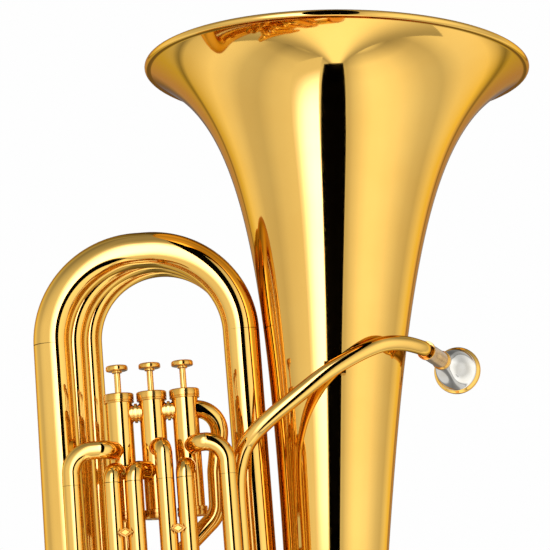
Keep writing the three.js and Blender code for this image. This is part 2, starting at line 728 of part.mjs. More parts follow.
valveAcross.forEach((across, i) => {
  const number = i + 1;
  const place = upAt(across, valveDepth);
  const innerCasing = casingRadius - casingWall;
  const casing = turned([
    [casingRadius, casingFoot], [casingRadius, casingTop],
    [innerCasing, casingTop], [innerCasing, casingFoot],
  ], 20);
  const ports = drillings[i].map(([from, towards]) => drill(from, towards, 0, 25, portRadius));
  piece(leaning, `valve_casing_${number}`, cut(place(casing), ...ports), satinBrass);

  const capFit = casingRadius + gap;
  const stemHole = stemRadius + gap;
  const roof = casingTop + gap;
  piece(leaning, `top_cap_${number}`, place(turned([
    [stemHole, roof], [capFit, roof], [capFit, roof - capSkirt], [capRadius, roof - capSkirt],
    [capRadius, roof + capTop - 0.9], [capRadius - 0.9, roof + capTop], [capRadius - 6, roof + capTop + 0.4],
    [stemHole, roof + capTop + 0.4],
  ], 20)), satinBrass);

  const floor = casingFoot - gap;
  piece(leaning, `bottom_cap_${number}`, place(turned([
    [0, floor], [capFit, floor], [capFit, floor + capSkirt], [capRadius, floor + capSkirt],
    [capRadius, floor - capTop + 0.9], [capRadius - 0.9, floor - capTop], [4, floor - capTop - 0.6],
    [0, floor - capTop - 0.6],
  ], 20)), satinBrass);

  const buttonFoot = buttonTop - buttonThickness;
  const pistonInner = pistonRadius - pistonWall;
  const piston = turned([
    [pistonRadius, pistonFoot], [pistonRadius, pistonTop], [stemRadius, pistonTop],
    [stemRadius, buttonFoot - gap], [0, buttonFoot - gap], [0, pistonTop - pistonWall],
    [pistonInner, pistonTop - pistonWall], [pistonInner, pistonFoot],
  ], 20);
  const windows = drillings[i].map(([from, towards]) => drill(from, towards, 14, 14, portRadius - 0.4));
  piece(leaning, `piston_${number}`, cut(place(piston), ...windows), nickel);

  piece(leaning, `finger_button_${number}`, place(turned([
    [0, buttonFoot], [3.4, buttonFoot], [buttonRadius, buttonFoot + 2.8], [buttonRadius, buttonTop - 1.1],
    [buttonRadius - 1, buttonTop], [0, buttonTop],
  ], 20)), satinBrass);

  const coil = [];
  const coilFoot = casingFoot + springWire;
  const coilTop = pistonFoot - gap - springWire;
  const steps = springTurns * 8;
  for (let k = 0; k <= steps; k++) {
    const angle = (2 * Math.PI * k) / 8;
    const height = THREE.MathUtils.lerp(coilFoot, coilTop, k / steps);
    const rise = (coilTop - coilFoot) / (springTurns * 2 * Math.PI);
    const [acrossCoil, depthCoil] = [springRadius * Math.cos(angle), springRadius * Math.sin(angle)];
    const at = point(across + acrossCoil, valveDepth + depthCoil, height);
    coil.push({ at, tangent: point(-depthCoil, acrossCoil, rise).normalize() });
  }
  piece(leaning, `valve_spring_${number}`, rod(coil, springWire, 4), steel);
});

// ---------------------------------------------------------------- mouthpipe

// A point of the mouthpipe as it goes round the front of the bell, clear of the bell's skin.
function crossing(degrees, height, clearance) {
  const reach = bellRadiusAt(height) + clearance + mouthpipeRadius.receiver;
  const angle = THREE.MathUtils.degToRad(degrees);
  return point(reach * Math.sin(angle), -reach * Math.cos(angle), height);
}

const mouthpipeAcross = -45.5;
const mouthpipeDepth = valveDepth - 4;
const receiverStart = crossing(66.9, 666.1, bellClearance + 9);
const mouthpipePoints = [
  fromLeaning(mouthpipeAcross, mouthpipeDepth, mouthpipeFoot + gap),
  fromLeaning(mouthpipeAcross, mouthpipeDepth, 489),
  fromLeaning(mouthpipeAcross + 0.9, mouthpipeDepth, 548.5),
  fromLeaning(mouthpipeAcross + 4.4, mouthpipeDepth - 2, 564.6),
  fromLeaning(mouthpipeAcross + 10.6, mouthpipeDepth - 6, 578.7),
  fromLeaning(mouthpipeAcross + 24.6, mouthpipeDepth - 14, 593.3),
  crossing(-25, 619.6, bellClearance + 8),
  crossing(-2.5, 643.6, bellClearance + 1),
  crossing(27.5, 665.1, bellClearance + 1.5),
  crossing(44, 668.4, bellClearance + 5),
  receiverStart.clone().addScaledVector(mouthpieceAxis, -13),
  receiverStart.clone().addScaledVector(mouthpieceAxis, -4),
  receiverStart,
];
const mouthpipeRoute = smoothRoute(mouthpipePoints, 26);
const mouthpipeLength = lengthOf(mouthpipeRoute);
const mouthpipeTable = (wall) => [
  [0, mouthpipeRadius.lower - wall], [mouthpipeLength * 0.45, mouthpipeRadius.lower - wall],
  [mouthpipeLength, mouthpipeRadius.receiver - wall],
];
const mouthpipeSkin = tube(mouthpipeRoute, mouthpipeTable(0), mouthpipeTable(mouthpipeWall), 10);
piece(upright, 'mouthpipe', mouthpipeSkin, lacquer);

const bowSpan = Math.hypot(returnFoot.x - mouthpipeAcross, returnFoot.y - mouthpipeDepth);
const mouthpipeBowRoute = bentRoute([
  point(returnFoot.x, returnFoot.y, mouthpipeFoot),
  point(returnFoot.x, returnFoot.y, mouthpipeFoot - 10 - bowSpan / 2),
  point(mouthpipeAcross, mouthpipeDepth, mouthpipeFoot - 10 - bowSpan / 2),
  point(mouthpipeAcross, mouthpipeDepth, mouthpipeFoot),
], [bowSpan / 2 - 0.01, bowSpan / 2 - 0.01]);
const mouthpipeBowLength = lengthOf(mouthpipeBowRoute);
const bowFerrule = returnRadius + 0.7;
piece(leaning, 'mouthpipe_bow', tube(mouthpipeBowRoute, [
  [0, bowFerrule], [9, bowFerrule], [9, returnRadius], [mouthpipeBowLength - 9, returnRadius],
  [mouthpipeBowLength - 9, bowFerrule], [mouthpipeBowLength, bowFerrule],
], [[0, returnRadius - slideWall], [mouthpipeBowLength, returnRadius - slideWall]], 10), lacquer);

// The receiver and the mouthpiece share one axis.
const axisFrom = (start, geometry) => {
  const turn = new THREE.Quaternion().setFromUnitVectors(point(0, 0, 1), mouthpieceAxis);
  return geometry.applyQuaternion(turn).translate(start.x, start.y, start.z);
};
const shankTip = shankRadius - 0.8;
const shankSeat = receiverLength - mouthpieceInsertion;
const receiverFoot = receiverStart.clone().addScaledVector(mouthpieceAxis, 2 * gap);
piece(upright, 'mouthpiece_receiver', axisFrom(receiverFoot, turned([
  [receiverRadius + 0.8, 0], [receiverRadius + 0.8, 4], [receiverRadius - 0.3, 5],
  [receiverRadius, shankSeat], [receiverRadius, receiverLength - 7],
  [receiverRadius + 1.1, receiverLength - 6], [receiverRadius + 1.1, receiverLength],
  [shankRadius + gap, receiverLength], [shankTip + gap, shankSeat - gap],
  [mouthpipeRadius.receiver - mouthpipeWall - 1, shankSeat - gap],
  [mouthpipeRadius.receiver - mouthpipeWall, 0],
], 16)), satinBrass);

const shankStart = receiverFoot.clone().addScaledVector(mouthpieceAxis, shankSeat);
piece(upright, 'mouthpiece', axisFrom(shankStart, turned([
  [shankTip, 0], [shankRadius, mouthpieceInsertion], [shankRadius + 0.5, mouthpieceLength * 0.42],
  [mouthpieceRim * 0.40, mouthpieceLength * 0.55], [mouthpieceRim * 0.62, mouthpieceLength * 0.67],
  [mouthpieceRim * 0.82, mouthpieceLength * 0.80], [mouthpieceRim * 0.90, mouthpieceLength * 0.92],
  [mouthpieceRim, mouthpieceLength * 0.945], [mouthpieceRim, mouthpieceLength - 2],
  [mouthpieceRim - 2, mouthpieceLength], [mouthpieceRim * 0.78, mouthpieceLength],
  [mouthpieceRim * 0.70, mouthpieceLength - 2], [mouthpieceRim * 0.62, mouthpieceLength * 0.86],
  [mouthpieceRim * 0.42, mouthpieceLength * 0.69], [mouthpieceRim * 0.17, mouthpieceLength * 0.57],
  [shankTip - 1.2, 0],
], 20)), silver);

// ---------------------------------------------------------------- braces

function diamond(name, leftTube, rightTube) {
  const { width, height, thickness } = bracePlate;
  const plate = new THREE.CylinderGeometry(1, 1, thickness, 4).scale(width / 2, 1, height / 2);
  const depth = slideDepth - slideRadius - gap - thickness / 2;
  piece(leaning, name, plate.translate((leftTube + rightTube) / 2, depth, braceHeight), satinBrass);
}

diamond('third_to_second_brace', tubeT2, tubeT3);
diamond('second_to_first_brace', tubeT4, tubeT5);

const bellSolid = () => turned([
  [0, bellTable[0].y],
  ...bellTable.map(({ x, y }) => [x + gap, y]),
  [0, bellTable.at(-1).y],
], 32);

const straight = (from, to) => bentRoute([from, to], []);
const innerLegSolid = rod(straight(
  fromLeaning(largeInnerAcross, 0, 310), fromLeaning(largeInnerAcross, 0, 690),
), largeRadius.innerTop + gap, 16);

const legCentre = fromLeaning(largeInnerAcross, 0, bellBraceHeight);
const braceBlock = new THREE.BoxGeometry(-legCentre.x, 16, 18).translate(legCentre.x / 2, 0, legCentre.z);
piece(upright, 'bell_brace', cut(braceBlock, bellSolid(), innerLegSolid), satinBrass);

const saddlePoint = crossing(-2.5, 643.6, bellClearance + 1);
const mouthpipeSolid = rod(mouthpipeRoute, mouthpipeRadius.lower + gap, 12);
const saddleDepth = -saddlePoint.y - bellRadiusAt(saddlePoint.z) * 0.9;
const saddleBlock = new THREE.BoxGeometry(20, saddleDepth, 11)
  .translate(saddlePoint.x, saddlePoint.y + saddleDepth / 2, saddlePoint.z);
piece(upright, 'mouthpipe_brace', cut(saddleBlock, bellSolid(), mouthpipeSolid), satinBrass);

// A rod with a round foot on the large outer leg holds the third slide's outer tube.
const slideSide = fromLeaning(tubeT1, slideDepth, legBraceHeight);
const legShare = (legHead.z - slideSide.z) / (legHead.z - legFoot.z);
const legSide = legHead.clone().lerp(legFoot, legShare);
const legSideRadius = THREE.MathUtils.lerp(largeRadius.outerTop, largeRadius.outerFoot, legShare);
const holder = join(
  bar(slideSide, legSide, rodRadius, 10),
  bar(legSide.clone().lerp(slideSide, 0.24), legSide.clone().lerp(slideSide, 0.32), rodRadius * 2.6, 14),
  bar(slideSide.clone().lerp(legSide, 0.06), slideSide.clone().lerp(legSide, 0.14), rodRadius * 1.8, 12),
);
const slideSolid = rod(straight(
  fromLeaning(tubeT1, slideDepth, 400), fromLeaning(tubeT1, slideDepth, 560),
), slideRadius + gap, 16);
const outerLegSolid = rod(straight(legHead, legFoot), legSideRadius + 2 * gap, 24);
piece(upright, 'leg_brace', cut(holder, slideSolid, outerLegSolid), satinBrass);

// ---------------------------------------------------------------- water key

const keyFace = exitDepth - tuningLegRadius; // front of the tuning crook's left leg
const nippleRadius = 3;
const nippleTip = keyFace - 4.4;
const crookLegSolid = rod(straight(
  point(exitAcross, exitDepth, keyHeight - 25), point(exitAcross, exitDepth, keyHeight + 60),
), tuningLegRadius + gap, 20);
const nipple = tube(
  straight(point(exitAcross, exitDepth, keyHeight), point(exitAcross, nippleTip, keyHeight)),
  [[0, nippleRadius], [exitDepth - nippleTip, nippleRadius]],
  [[0, nippleRadius - 0.9], [exitDepth - nippleTip, nippleRadius - 0.9]], 12);
piece(leaning, 'water_key_nipple', cut(nipple, crookLegSolid), satinBrass);

const pivotDepth = keyFace - 5.2;
const pivotHeight = keyHeight + keyReach;
const pinRadius = 0.8;
const barrelRadius = 2.2;
const earInside = keyWidth / 2 + gap;
const earOutside = earInside + 1.4;
const ear = (side) => {
  const middle = exitAcross + (side * (earInside + earOutside)) / 2;
  return new THREE.BoxGeometry(earOutside - earInside, exitDepth - pivotDepth + 2, 6)
    .translate(middle, (exitDepth + pivotDepth - 2) / 2, pivotHeight);
};
const saddleBase = new THREE.BoxGeometry(2 * earOutside, 10, 11)
  .translate(exitAcross, keyFace + 3.6, pivotHeight);
const pin = bar(point(exitAcross - earOutside, pivotDepth, pivotHeight),
  point(exitAcross + earOutside, pivotDepth, pivotHeight), pinRadius, 10);
piece(leaning, 'water_key_saddle', cut(join(saddleBase, ear(-1), ear(1), pin), crookLegSolid), satinBrass);

const leverDepth = nippleTip - gap;
const leverPlate = new THREE.BoxGeometry(keyWidth - 1, 1.6, 2 * keyReach + 2)
  .translate(exitAcross, leverDepth - 2.4, pivotHeight + 1);
const pad = bar(point(exitAcross, leverDepth, keyHeight),
  point(exitAcross, leverDepth - 3, keyHeight), 4.2, 12);
const barrel = bar(point(exitAcross - keyWidth / 2, pivotDepth, pivotHeight),
  point(exitAcross + keyWidth / 2, pivotDepth, pivotHeight), barrelRadius, 12);
const pinHole = bar(point(exitAcross - keyWidth, pivotDepth, pivotHeight),
  point(exitAcross + keyWidth, pivotDepth, pivotHeight), pinRadius + gap, 12);
const thumb = new THREE.BoxGeometry(8, 1.6, 9)
  .translate(exitAcross, leverDepth - 2.4, pivotHeight + keyReach - 2);
piece(leaning, 'water_key_lever', cut(join(leverPlate, pad, barrel, thumb), pinHole), satinBrass);

// ---------------------------------------------------------------- stand the tuba on its own floor

tuba.updateMatrixWorld(true);
const extent = new THREE.Box3().setFromObject(tuba, true);
const middle = extent.getCenter(point(0, 0, 0));
tuba.position.set(-middle.x, -middle.y, -extent.min.z);
tuba.updateMatrixWorld(true);

export default tuba;
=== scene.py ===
"""A three-valve upright tuba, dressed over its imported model.

Every tube, bow, valve and slide is modelled at its real size and given a procedural finish.
Sizes are in millimetres. "Leaning" sizes are across, depth and up the branch, in the plane that
the branches, valves and slides share.
"""

import json
import logging
import math
from collections.abc import Callable
from dataclasses import dataclass, field
from enum import Enum

import bpy
from mathutils import Matrix, Vector

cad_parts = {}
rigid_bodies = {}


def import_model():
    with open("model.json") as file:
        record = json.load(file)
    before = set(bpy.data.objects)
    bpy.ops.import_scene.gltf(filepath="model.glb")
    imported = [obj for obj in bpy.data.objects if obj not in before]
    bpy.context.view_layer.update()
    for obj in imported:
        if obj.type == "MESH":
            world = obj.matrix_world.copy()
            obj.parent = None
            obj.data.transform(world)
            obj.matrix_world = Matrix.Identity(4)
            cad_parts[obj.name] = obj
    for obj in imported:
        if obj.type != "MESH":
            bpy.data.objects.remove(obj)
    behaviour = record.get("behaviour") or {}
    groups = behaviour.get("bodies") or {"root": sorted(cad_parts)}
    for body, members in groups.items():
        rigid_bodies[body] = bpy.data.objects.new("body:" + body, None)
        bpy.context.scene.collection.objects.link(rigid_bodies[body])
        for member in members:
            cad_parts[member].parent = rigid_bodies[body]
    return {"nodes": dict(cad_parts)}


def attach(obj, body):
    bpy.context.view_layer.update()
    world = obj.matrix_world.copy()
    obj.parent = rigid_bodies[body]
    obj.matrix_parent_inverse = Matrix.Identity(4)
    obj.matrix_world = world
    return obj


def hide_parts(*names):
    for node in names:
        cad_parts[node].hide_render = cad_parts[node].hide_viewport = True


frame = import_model()

LOG = logging.getLogger("tuba")
MM = 0.001
SHIFT = Vector((50.4438, 0.0, -0.6850))  # from the bell's own axis to the model's middle
LEAN = math.radians(4.9)
GAP = 0.3
CUT_RADIUS = 11.75  # tubes are cut a little inside the casings' skin, so that no light shows
CUT_HEIGHTS = (480, 660)  # past both ends of the casings

Piece = bpy.types.Object
Table = list[tuple[float, float]]
Route = list[Vector]


# ---------------------------------------------------------------- places and routes


def upright(x: float, y: float, z: float) -> Vector:
    """A point measured from the bell's axis and the floor, in the model's millimetres."""
    return Vector((x, y, z)) + SHIFT


def leaning(across: float, depth: float, height: float) -> Vector:
    """A point of the leaning plane, in the model's millimetres."""
    cos, sin = math.cos(LEAN), math.sin(LEAN)
    return upright(across * cos - height * sin, depth, across * sin + height * cos)


def lerp(a: float, b: float, share: float) -> float:
    """The value a share of the way from a to b."""
    return a + (b - a) * share


def in_plane(depth: float, spots: Table, bends: list[float], step: float = 4.0) -> Route:
    """A bent run at one depth, by the across and height of its ends and corners."""
    return bent_route([leaning(across, depth, height) for across, height in spots], bends, step)


def bent_route(corners: Route, bends: list[float], step: float = 4.0) -> Route:
    """Rounds the corners of a run of tube.

    Args:
        corners: the run's ends and the corners between them.
        bends: the bend radius at each corner.
        step: degrees between two points of a bend.

    Returns:
        The points of the run, with each corner an arc.
    """
    route = [corners[0]]
    for i, bend in enumerate(bends, start=1):
        arriving = (corners[i] - corners[i - 1]).normalized()
        departing = (corners[i + 1] - corners[i]).normalized()
        turn = arriving.angle(departing)
        axis = arriving.cross(departing).normalized()
        inward = axis.cross(arriving)
        centre = corners[i] - arriving * bend * math.tan(turn / 2) + inward * bend
        steps = max(3, math.ceil(math.degrees(turn) / step))
        for k in range(steps + 1):
            route.append(centre + Matrix.Rotation(turn * k / steps, 3, axis) @ (-inward * bend))
    route.append(corners[-1])
    return route


def smooth_route(points: Route, steps: int = 9) -> Route:
    """One smooth curve through the points, with even steps between each two of them."""
    ends = [2 * points[0] - points[1], *points, 2 * points[-1] - points[-2]]
    route = []
    for p0, p1, p2, p3 in zip(ends, ends[1:], ends[2:], ends[3:]):
        t1 = (p1 - p0).length ** 0.5
        t2 = t1 + (p2 - p1).length ** 0.5
        t3 = t2 + (p3 - p2).length ** 0.5
        for k in range(steps):
            t = lerp(t1, t2, k / steps)
            a1 = p0.lerp(p1, t / t1)
            a2 = p1.lerp(p2, (t - t1) / (t2 - t1))
            a3 = p2.lerp(p3, (t - t2) / (t3 - t2))
            b1 = a1.lerp(a2, t / t2)
            b2 = a2.lerp(a3, (t - t1) / (t3 - t1))
            route.append(b1.lerp(b2, (t - t1) / (t2 - t1)))
    route.append(points[-1])
    return route


def distances(route: Route) -> list[float]:
    """How far along the run each of its points is."""
    marks = [0.0]
    for a, b in zip(route, route[1:]):
        marks.append(marks[-1] + (b - a).length)
    return marks


def length_of(route: Route) -> float:
    """The run's whole length."""
    return distances(route)[-1]


def with_radii(route: Route, table: Table) -> list[tuple[Vector, float]]:
    """Splits a run where its radius changes.

    Args:
        route: the points of the run.
        table: distances along it, each with the tube's radius there.

    Returns:
        Points, each with its radius.
    """
    marks = distances(route)

    def spot(distance: float) -> Vector:
        for i in range(1, len(marks)):
            if marks[i] >= distance - 1e-6:
                span = marks[i] - marks[i - 1]
                return route[i - 1].lerp(route[i], (distance - marks[i - 1]) / span)
        return route[-1]

    rings = [(spot(table[0][0]), table[0][1])]
    for (d0, r0), (d1, r1) in zip(table, table[1:]):
        for mark, place in zip(marks, route):
            if d0 + 0.25 < mark < d1 - 0.25:
                rings.append((place, lerp(r0, r1, (mark - d0) / (d1 - d0))))
        rings.append((spot(d1), r1))
    return rings


def collar(start: float, end: float, radius: float, rise: float) -> Table:
    """Table rows for a ferrule with softly rounded edges that stands proud of the tube."""
    edge = 0.35
    return [
        (start, radius), (start + 0.02, radius + rise * 0.55), (start + edge, radius + rise),
        (end - edge, radius + rise), (end - 0.02, radius + rise * 0.55), (end, radius),
    ]


# ---------------------------------------------------------------- modelling by hand


def deselect() -> None:
    """Nothing is selected, so that an operator acts on the next piece only."""
    for other in bpy.context.view_layer.objects:
        other.select_set(False)


def take(obj: Piece) -> None:
    """Selects one object and makes it the active one."""
    deselect()
    obj.select_set(True)
    bpy.context.view_layer.objects.active = obj


def modify(obj: Piece, kind: str, **settings: object) -> None:
    """Adds a modifier with its settings and applies it."""
    take(obj)
    bpy.ops.object.modifier_add(type=kind)
    modifier = obj.modifiers[-1]
    for name, value in settings.items():
        setattr(modifier, name, value)
    bpy.ops.object.modifier_apply(modifier=modifier.name)


def smooth_below(degrees: float) -> None:
    """Shades the active piece smooth, but for edges sharper than this."""
    bpy.ops.object.shade_smooth_by_angle(angle=math.radians(degrees))


def finish_shell(obj: Piece, wall: float = 0.0, smooth: float = 35.0) -> Piece:
    """Closes seams, turns the faces outwards, gives the wall its thickness and smooths it.

    Args:
        obj: the mesh.
        wall: wall thickness in millimetres, or 0 for a closed shape.
        smooth: edges sharper than this many degrees stay crisp.

    Returns:
        The same object.
    """
    take(obj)
    bpy.ops.object.mode_set(mode="EDIT")
    bpy.ops.mesh.select_all(action="SELECT")
    bpy.ops.mesh.remove_doubles(threshold=3e-6)
    bpy.ops.mesh.normals_make_consistent(inside=False)
    bpy.ops.object.mode_set(mode="OBJECT")
    if wall:
        modify(obj, "SOLIDIFY", thickness=wall * MM, offset=-1)
    smooth_below(smooth)
    return obj


def sweep(name: str, route: Route, table: Table, sides: int, wall: float = 0.0) -> Piece:
    """Draws a tube along a run.

    Args:
        name: the piece's name.
        route: the points of the run.
        table: distances along it, each with the radius there.
        sides: facets round the tube.
        wall: wall thickness in millimetres, or 0 for closed ends.

    Returns:
        The tube as a mesh.
    """
    rings = with_radii(route, table)
    deselect()
    bpy.ops.curve.primitive_bezier_curve_add(location=(0, 0, 0))
    obj = bpy.context.object
    curve = obj.data
    curve.splines.clear()
    line = curve.splines.new("POLY")
    line.points.add(len(rings) - 1)
    for point, (place, radius) in zip(line.points, rings):
        point.co = (*(place * MM), 1.0)
        point.radius = radius
    curve.dimensions = "3D"
    curve.bevel_depth = MM
    curve.bevel_resolution = max(2, (sides - 4) // 2)
    curve.use_fill_caps = not wall
    bpy.ops.object.convert(target="MESH")
    obj = bpy.context.object
    obj.name = name
    obj.data.name = name
    return finish_shell(obj, wall)


def turned(name: str, profile: Table, sides: int, place: Matrix, smooth: float = 35.0) -> Piece:
    """Turns an outline as on a lathe: a ring is extruded and resized from point to point.

    Args:
        name: the piece's name.
        profile: radius and height of each point, in order.
        sides: facets round the piece.
        place: turns and moves the piece from its own upright axis, in millimetres.
        smooth: edges sharper than this many degrees stay crisp.

    Returns:
        The turned mesh.
    """
    least = 0.001
    deselect()
    radius, height = max(profile[0][0], least), profile[0][1]
    bpy.ops.mesh.primitive_circle_add(
        vertices=sides, radius=radius * MM, fill_type="NOTHING", location=(0, 0, height * MM)
    )
    obj = bpy.context.object
    obj.name = name
    obj.data.name = name
    bpy.ops.object.transform_apply(location=True, rotation=False, scale=False)
    bpy.ops.object.mode_set(mode="EDIT")
    bpy.ops.mesh.select_all(action="SELECT")
    for next_radius, next_height in profile[1:]:
        next_radius = max(next_radius, least)
        rise = (0, 0, (next_height - height) * MM)
        bpy.ops.mesh.extrude_region_move(TRANSFORM_OT_translate={"value": rise})
        grow = next_radius / radius
        bpy.ops.transform.resize(value=(grow, grow, 1), center_override=(0, 0, next_height * MM))
        radius, height = next_radius, next_height
    bpy.ops.object.mode_set(mode="OBJECT")
    metres = Matrix.Translation(place.translation * MM) @ place.to_3x3().to_4x4()
    obj.data.transform(metres)
    return finish_shell(obj, smooth=smooth)


def along(start: Vector, axis: Vector) -> Matrix:
    """Stands a turned piece on a point, with its axis that way."""
    turn = Vector((0, 0, 1)).rotation_difference(axis)
    return Matrix.Translation(start) @ turn.to_matrix().to_4x4()


def standing(across: float, depth: float) -> Matrix:
    """Stands a turned piece in the leaning plane: its heights are then heights up the branch."""
    foot = leaning(across, depth, 0)
    return along(foot, (leaning(across, depth, 1) - foot).normalized())


def fit_to(obj: Piece, *places: tuple[float, float]) -> Piece:
    """Cuts the end of a tube to the round skin of the casings it is soldered to.

    Args:
        obj: the tube.
        places: across and depth of each casing.

    Returns:
        The cut tube.
    """
    foot, top = CUT_HEIGHTS
    for place in places:
        outline = [(0, foot), (CUT_RADIUS, foot), (CUT_RADIUS, top), (0, top)]
        cutter = turned("cutter", outline, 96, standing(*place))
        modify(obj, "BOOLEAN", operation="DIFFERENCE", solver="EXACT", object=cutter)
        bpy.data.objects.remove(cutter)
        smooth_below(35)
    return obj


# ---------------------------------------------------------------- finishes


def linear(code: str) -> tuple[float, float, float, float]:
    """An sRGB hex colour as linear red, green, blue and alpha."""
    parts = [int(code[i : i + 2], 16) / 255 for i in (1, 3, 5)]
    return (*(c / 12.92 if c <= 0.04045 else ((c + 0.055) / 1.055) ** 2.4 for c in parts), 1.0)


def add_node(tree: bpy.types.NodeTree, kind: str, settings: dict, links: dict) -> bpy.types.Node:
    """Adds a node.

    Args:
        tree: the material's or world's nodes.
        kind: the shader node's type.
        settings: values for its properties, or for its sockets by name.
        links: for each socket, by name or number, the output that feeds it, or the node whose
            first output does.

    Returns:
        The node.
    """
    node = tree.nodes.new(f"ShaderNode{kind}")
    for key, value in settings.items():
        if isinstance(key, str) and hasattr(node, key):
            setattr(node, key, value)
        else:
            node.inputs[key].default_value = value
    for key, source in links.items():
        output = source.outputs[0] if isinstance(source, bpy.types.Node) else source
        tree.links.new(output, node.inputs[key])
    return node


def colour_stops(ramp: bpy.types.Node, stops: list[tuple[float, tuple]]) -> None:
    """Sets a ramp's places, from 0 to 1, and the colours at them."""
    elements = ramp.color_ramp.elements
    for i, (where, colour) in enumerate(stops):
        stop = elements[i] if i < 2 else elements.new(where)
        stop.position, stop.color = where, colour


def fresh(name: str) -> tuple[bpy.types.Material, bpy.types.NodeTree, bpy.types.Node]:
    """A new material, its nodes, and the object coordinates its patterns read."""
    material = bpy.data.materials.new(name)
    material.use_nodes = True
    material.node_tree.nodes.clear()
    coords = add_node(material.node_tree, "TexCoord", {}, {})
    return material, material.node_tree, coords


@dataclass(frozen=True)
class PolishedMetal:
    """A buffed metal: a mirror with the faint waves and wipe marks of polishing by hand."""

    name: str
    light: str  # the colour where the metal or its lacquer is thinnest
    deep: str  # the colour where it is richest
    gloss: float = 0.05  # roughness of a clean patch
    haze: float = 0.05  # how much rougher a handled patch is
    coat: float = 0.0  # clear lacquer over the metal
    wave: float = 0.02  # height of the buffing waves, in millimetres
    wave_size: float = 60.0  # from wave to wave
    cloud_size: float = 45.0  # of the colour's slow change
    mark_size: float = 7.0  # of handling marks
    edge: str = "#FFFFFF"  # the tint of glancing reflections

    def make(self) -> bpy.types.Material:
        """The material with its nodes."""
        material, tree, coords = fresh(self.name)
        where = coords.outputs["Object"]
        clouds = add_node(tree, "TexNoise",
                          {"Scale": 1 / (self.cloud_size * MM), "Detail": 3.0, "Roughness": 0.55},
                          {"Vector": where})
        tone = add_node(tree, "ValToRGB", {}, {"Fac": clouds})
        colour_stops(tone, [(0.3, linear(self.deep)), (0.7, linear(self.light))])
        marks = add_node(tree, "TexNoise",
                         {"Scale": 1 / (self.mark_size * MM), "Detail": 6.0, "Roughness": 0.7},
                         {"Vector": where})
        rough = add_node(tree, "MapRange",
                         {"From Min": 0.45, "From Max": 0.8, "To Min": self.gloss,
                          "To Max": self.gloss + self.haze}, {"Value": marks})
        waves = add_node(tree, "TexNoise",
                         {"Scale": 1 / (self.wave_size * MM), "Detail": 1.0, "Roughness": 0.4},
                         {"Vector": where})
        relief = add_node(tree, "Bump", {"Strength": 1.0, "Distance": self.wave * MM},
                          {"Height": waves})
        shader = add_node(tree, "BsdfPrincipled",
                          {"Metallic": 1.0, "Coat Weight": self.coat, "Coat Roughness": 0.03,
                           "Coat IOR": 1.5, "Specular Tint": linear(self.edge)},
                          {"Base Color": tone, "Roughness": rough, "Normal": relief})
        add_node(tree, "OutputMaterial", {}, {"Surface": shader})
        return material


@dataclass(frozen=True)
class BrushedMetal:
    """A metal finished with fine abrasive: soft, stretched highlights and fine scratches."""

    name: str
    light: str
    deep: str
    rough: float = 0.25
    spread: float = 0.12
    coat: float = 0.0
    scratch_size: float = 0.35  # across a scratch, drawn as coarse as it needs to show
    scratch_depth: float = 0.012

    def make(self) -> bpy.types.Material:
        """The material with its nodes."""
        material, tree, coords = fresh(self.name)
        lie = add_node(tree, "Mapping", {"Scale": (0.12, 0.12, 1.0)},
                       {"Vector": coords.outputs["Object"]})
        scratches = add_node(tree, "TexNoise",
                             {"Scale": 1 / (self.scratch_size * MM), "Detail": 4.0},
                             {"Vector": lie})
        clouds = add_node(tree, "TexNoise", {"Scale": 1 / (12 * MM), "Detail": 4.0},
                          {"Vector": coords.outputs["Object"]})
        tone = add_node(tree, "ValToRGB", {}, {"Fac": clouds})
        colour_stops(tone, [(0.3, linear(self.deep)), (0.75, linear(self.light))])
        rough = add_node(tree, "MapRange",
                         {"From Min": 0.3, "From Max": 0.7, "To Min": self.rough,
                          "To Max": self.rough + self.spread}, {"Value": scratches})
        relief = add_node(tree, "Bump", {"Strength": 0.6, "Distance": self.scratch_depth * MM},
                          {"Height": scratches})
        shader = add_node(tree, "BsdfPrincipled",
                          {"Metallic": 1.0, "Coat Weight": self.coat, "Coat Roughness": 0.08},
                          {"Base Color": tone, "Roughness": rough, "Normal": relief})
        add_node(tree, "OutputMaterial", {}, {"Surface": shader})
        return material


class Finish(Enum):
    """The finishes of the instrument, each with the record's slot that it belongs to."""

    # Yellow brass, buffed to a mirror and sprayed with clear lacquer: deep gold with white glints.
    LACQUERED_BRASS = ("lacquered_brass", PolishedMetal(
        "lacquered yellow brass", light="#EABD60", deep="#E6B658", gloss=0.04, haze=0.04,
        coat=0.18, wave=0.012, cloud_size=90, edge="#D9A441"))
    # The same brass, hand fitted: small parts keep a little of the fine abrasive's softness.
    SATIN_BRASS = ("satin_brass", BrushedMetal(
        "satin lacquered brass", light="#E6B55A", deep="#CF9A3E", rough=0.12, spread=0.10,
        coat=0.1))
    # Silver plate over brass: a cool, bright mirror that goes faintly warm with handling.
    SILVER_PLATE = ("silver_plate", PolishedMetal(
        "polished silver plate", light="#F3F1EA", deep="#E4DFD2", gloss=0.06, haze=0.07,
        wave=0.01, wave_size=20, cloud_size=15, mark_size=3))
    # Nickel silver, drawn and lapped: greyer and softer than silver plate.
    NICKEL = ("nickel", BrushedMetal(
        "lapped nickel silver", light="#CFCBBE", deep="#B4B0A4", rough=0.18, spread=0.12))
    # Music wire, oiled: a dark grey with small bright glints.
    SPRING_STEEL = ("spring_steel", BrushedMetal(
        "oiled spring steel", light="#9A9C9F", deep="#75777A", rough=0.25, spread=0.1))

    @property
    def material(self) -> bpy.types.Material:
        """This finish's material, made once."""
        slot, recipe = self.value
        return bpy.data.materials.get(recipe.name) or recipe.make()

    @property
    def slot(self) -> str:
        """The record's slot."""
        return self.value[0]


